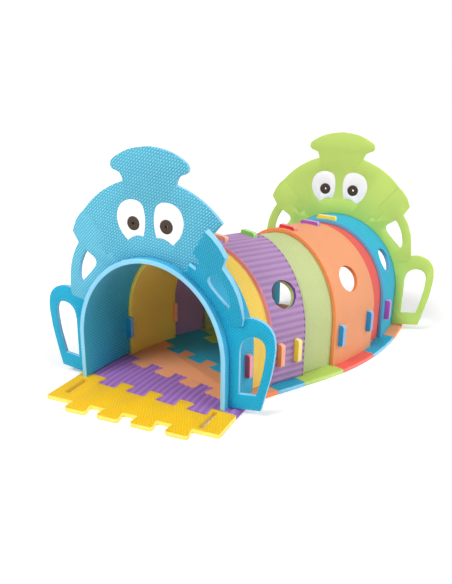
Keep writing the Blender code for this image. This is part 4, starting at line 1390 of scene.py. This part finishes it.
class TUNNEL_OT_shoulders(bpy.types.Operator):
    """Make the shoulders of each face panel, the front right one sprung forward"""
    bl_idname = "tunnel.shoulders"
    bl_label = "Shoulders"

    def execute(self, context):
        colours = context.scene.tunnel_colours
        for end, station, slot, cut, sprung in FACES:
            for side, word in SIDES:
                name = f"{end}_{word}_shoulder"
                materials = face_finishes(colours, name, cut)
                hole = smooth_closed(beside_sleeve(EAR_HOLE))
                face_piece(name, shoulder_outline(), [hole], materials, station, side,
                           word == sprung)
        return {"FINISHED"}


class TUNNEL_OT_hands(bpy.types.Operator):
    """Make the hands of each face panel"""
    bl_idname = "tunnel.hands"
    bl_label = "Hands"

    def execute(self, context):
        colours = context.scene.tunnel_colours
        for end, station, slot, cut, _ in FACES:
            for side, word in SIDES:
                name = f"{end}_{word}_hand"
                materials = face_finishes(colours, name, cut)
                face_piece(name, hand_outline(), [hand_hole()], materials, station, side)
        return {"FINISHED"}


class TUNNEL_OT_eyes(bpy.types.Operator):
    """Make the whites and the pupils of the eyes"""
    bl_idname = "tunnel.eyes"
    bl_label = "Eyes"

    def execute(self, context):
        colours = context.scene.tunnel_colours
        white = shift_loop(eye_outline(), FIT)
        socket = circle(PUPIL_PLACE, PUPIL_RADIUS, PUPIL_STEPS)
        pupil = circle(PUPIL_PLACE, PUPIL_RADIUS - FIT, PUPIL_STEPS)
        hole = circle(PUPIL_PLACE, PUPIL_HOLE, PUPIL_HOLE_STEPS)
        pale = finishes(colours, "white", "white", "faint")
        dark = finishes(colours, "brown", "brown", "fine")
        for end, station, *_ in FACES:
            for side, word in SIDES:
                face_piece(f"{end}_{word}_eye", white, [socket], pale, station, side,
                           rounding=EYE_ROUNDING)
                face_piece(f"{end}_{word}_pupil", pupil, [hole], dark, station, side,
                           rounding=EYE_ROUNDING)
        return {"FINISHED"}


class TUNNEL_OT_pegs(bpy.types.Operator):
    """Make the eighteen pegs that hold the arches together"""
    bl_idname = "tunnel.pegs"
    bl_label = "Pegs"

    def execute(self, context):
        sizes, colours = context.scene.tunnel_sizes, context.scene.tunnel_colours
        for seam, words in PEG_COLOURS.items():
            for place, word in zip(SEAM_PLACES, words):
                colour = getattr(colours, "peg_" + word)
                materials = [foam_material("foam_skin_peg_" + word, colour, "fine"),
                             foam_material("foam_cut_peg_" + word, paler(colour))]
                peg(f"peg_{seam}_{place}", materials, sizes)
        return {"FINISHED"}


# Stage

CAMERA_PLACE = (0.88168, -1.38834, 0.87902)
CAMERA_YAW, CAMERA_PITCH, CAMERA_ROLL = -0.43536961, 0.32537690, 0.01227241
CAMERA_LENS, CAMERA_SENSOR = 36.986, 36.0
FLOOR_CENTRE, FLOOR_RADIUS, FLOOR_STEPS, FLOOR_HEIGHT = (0.15, 0.4), 60.0, 96, -0.0005
FLOOR_SHADE, FLOOR_ROUGHNESS, FLOOR_LEVEL = 0.92, 0.95, 0.22
WORLD_SEEN, WORLD_LIGHT = 0.80, 0.20  # what is added where it is seen, and what lights the object
# Lamps: direction, strength and width in degrees of the two suns, and place, aim, power and size
KEY, FILL = ((-0.42, -1.0, 1.35), 1.80, 24.0), ((1.2, -0.12, 1.00), 1.90, 40.0)
NEAR_KEY = ((-0.85, -1.0, 1.15), (0.0, 0.0, 0.50), 5.0, 0.6)


def seen_directly(tree):
    """1 where the camera sees it, straight, by gloss or through something clear, or else 0."""
    rays = shader_node(tree, "ShaderNodeLightPath").outputs
    straight = maths(tree, "MAXIMUM", rays["Is Camera Ray"], rays["Is Glossy Ray"])
    return maths(tree, "MAXIMUM", straight, rays["Is Transmission Ray"])


def stage_material(name):
    """Pale, and lighter where it is seen directly, apart from the ground under the mat's slots, which is
    kept darker as painted shade.
    """
    made = bpy.data.materials.new(name)
    made.use_nodes = True
    tree = made.node_tree
    shader = tree.nodes["Principled BSDF"]
    shader.inputs["Base Color"].default_value = (FLOOR_SHADE, FLOOR_SHADE, FLOOR_SHADE, 1.0)
    shader.inputs["Roughness"].default_value = FLOOR_ROUGHNESS
    shader.inputs["Specular IOR Level"].default_value = 0.0
    shader.inputs["Emission Color"].default_value = (1.0, 1.0, 1.0, 1.0)
    places = shader_node(tree, "ShaderNodeTexCoord").outputs["Object"]
    place = shader_node(tree, "ShaderNodeSeparateXYZ", {"Vector": places}).outputs
    # Under the mat's slots the glow is left off, as painted shade seen through them
    half_width, middle, reach = SLOT_STRIP
    beside = maths(tree, "GREATER_THAN", maths(tree, "ABSOLUTE", place["X"]), half_width)
    within = maths(tree, "COMPARE", place["Y"], middle, reach)
    clear = maths(tree, "MAXIMUM", beside, maths(tree, "SUBTRACT", 1.0, within))
    level = maths(tree, "MULTIPLY", seen_directly(tree), FLOOR_LEVEL)
    connect(tree, shader.inputs["Emission Strength"], maths(tree, "MULTIPLY", level, clear))
    return made


def add_sun(name, direction, strength, angle):
    data = bpy.data.lights.new(name, "SUN")
    data.energy = strength
    data.angle = math.radians(angle)
    lamp = bpy.data.objects.new(name, data)
    lamp.rotation_euler = (-Vector(direction)).to_track_quat("-Z", "Y").to_euler()
    bpy.context.scene.collection.objects.link(lamp)


def add_panel_lamp(name, place, aim, power, size):
    data = bpy.data.lights.new(name, "AREA")
    data.energy = power
    data.size = size
    lamp = bpy.data.objects.new(name, data)
    lamp.location = place
    lamp.rotation_euler = (Vector(aim) - Vector(place)).to_track_quat("-Z", "Y").to_euler()
    bpy.context.scene.collection.objects.link(lamp)


def add_floor():
    bm = bmesh.new()
    rim = circle(FLOOR_CENTRE, FLOOR_RADIUS, FLOOR_STEPS)
    bm.faces.new([bm.verts.new((x, y, FLOOR_HEIGHT)) for x, y in rim])
    floor = make_object("floor", bm, [stage_material("stage_floor")])


def add_world(scene):
    world = bpy.data.worlds.new("studio")
    scene.world = world
    world.use_nodes = True
    tree = world.node_tree
    background = tree.nodes["Background"]
    background.inputs["Color"].default_value = (1.0, 1.0, 1.0, 1.0)
    strength = maths(tree, "MULTIPLY_ADD", seen_directly(tree), WORLD_SEEN, WORLD_LIGHT)
    connect(tree, background.inputs["Strength"], strength)


def add_camera(scene):
    data = bpy.data.cameras.new("camera")
    data.sensor_width = CAMERA_SENSOR
    data.sensor_fit = "AUTO"
    data.lens = CAMERA_LENS
    camera = bpy.data.objects.new("camera", data)
    sight = Vector((math.sin(-CAMERA_YAW) * -math.cos(CAMERA_PITCH),
                    math.cos(CAMERA_YAW) * math.cos(CAMERA_PITCH), -math.sin(CAMERA_PITCH)))
    right = Vector((math.cos(CAMERA_YAW), -math.sin(CAMERA_YAW), 0.0))
    up = right.cross(sight)
    rolled_right = right * math.cos(CAMERA_ROLL) + up * math.sin(CAMERA_ROLL)
    rolled_up = up * math.cos(CAMERA_ROLL) - right * math.sin(CAMERA_ROLL)
    turn = Matrix((rolled_right, rolled_up, -sight)).transposed().to_4x4()
    turn.translation = CAMERA_PLACE
    camera.matrix_world = turn
    scene.collection.objects.link(camera)
    scene.camera = camera


class TUNNEL_OT_stage(bpy.types.Operator):
    """Make the pale floor, the soft light and the camera"""
    bl_idname = "tunnel.stage"
    bl_label = "Stage"

    def execute(self, context):
        add_floor()
        add_world(context.scene)
        add_sun("key", *KEY)
        add_sun("fill", *FILL)
        add_panel_lamp("near_key", *NEAR_KEY)
        context.scene.view_settings.view_transform = "Standard"
        add_camera(context.scene)
        return {"FINISHED"}


MAKERS = (TUNNEL_OT_sleeves, TUNNEL_OT_outer_arches, TUNNEL_OT_inner_arches, TUNNEL_OT_mat,
          TUNNEL_OT_tiles, TUNNEL_OT_heads, TUNNEL_OT_shoulders, TUNNEL_OT_hands, TUNNEL_OT_eyes,
          TUNNEL_OT_pegs, TUNNEL_OT_stage)


class TUNNEL_PT_pieces(bpy.types.Panel):
    """Lists the pieces of the play tunnel, with their sizes and colours"""
    bl_idname = "TUNNEL_PT_pieces"
    bl_label = "Play Tunnel"
    bl_space_type = "VIEW_3D"
    bl_region_type = "UI"
    bl_category = "Play Tunnel"

    def draw(self, context):
        layout = self.layout
        for maker in MAKERS:
            layout.operator(maker.bl_idname)
        for group_of_values in (context.scene.tunnel_sizes, context.scene.tunnel_colours):
            box = layout.box()
            for name in group_of_values.__annotations__:
                box.prop(group_of_values, name)


CLASSES = (TunnelSizes, TunnelColours) + MAKERS + (TUNNEL_PT_pieces,)


def register():
    for kind in CLASSES:
        bpy.utils.register_class(kind)
    bpy.types.Scene.tunnel_sizes = PointerProperty(type=TunnelSizes)
    bpy.types.Scene.tunnel_colours = PointerProperty(type=TunnelColours)


def unregister():
    del bpy.types.Scene.tunnel_colours
    del bpy.types.Scene.tunnel_sizes
    for kind in reversed(CLASSES):
        bpy.utils.unregister_class(kind)


def main():
    register()
    for maker in MAKERS:
        family, name = maker.bl_idname.split(".")
        getattr(getattr(bpy.ops, family), name)()


if __name__ == "__main__":
    main()
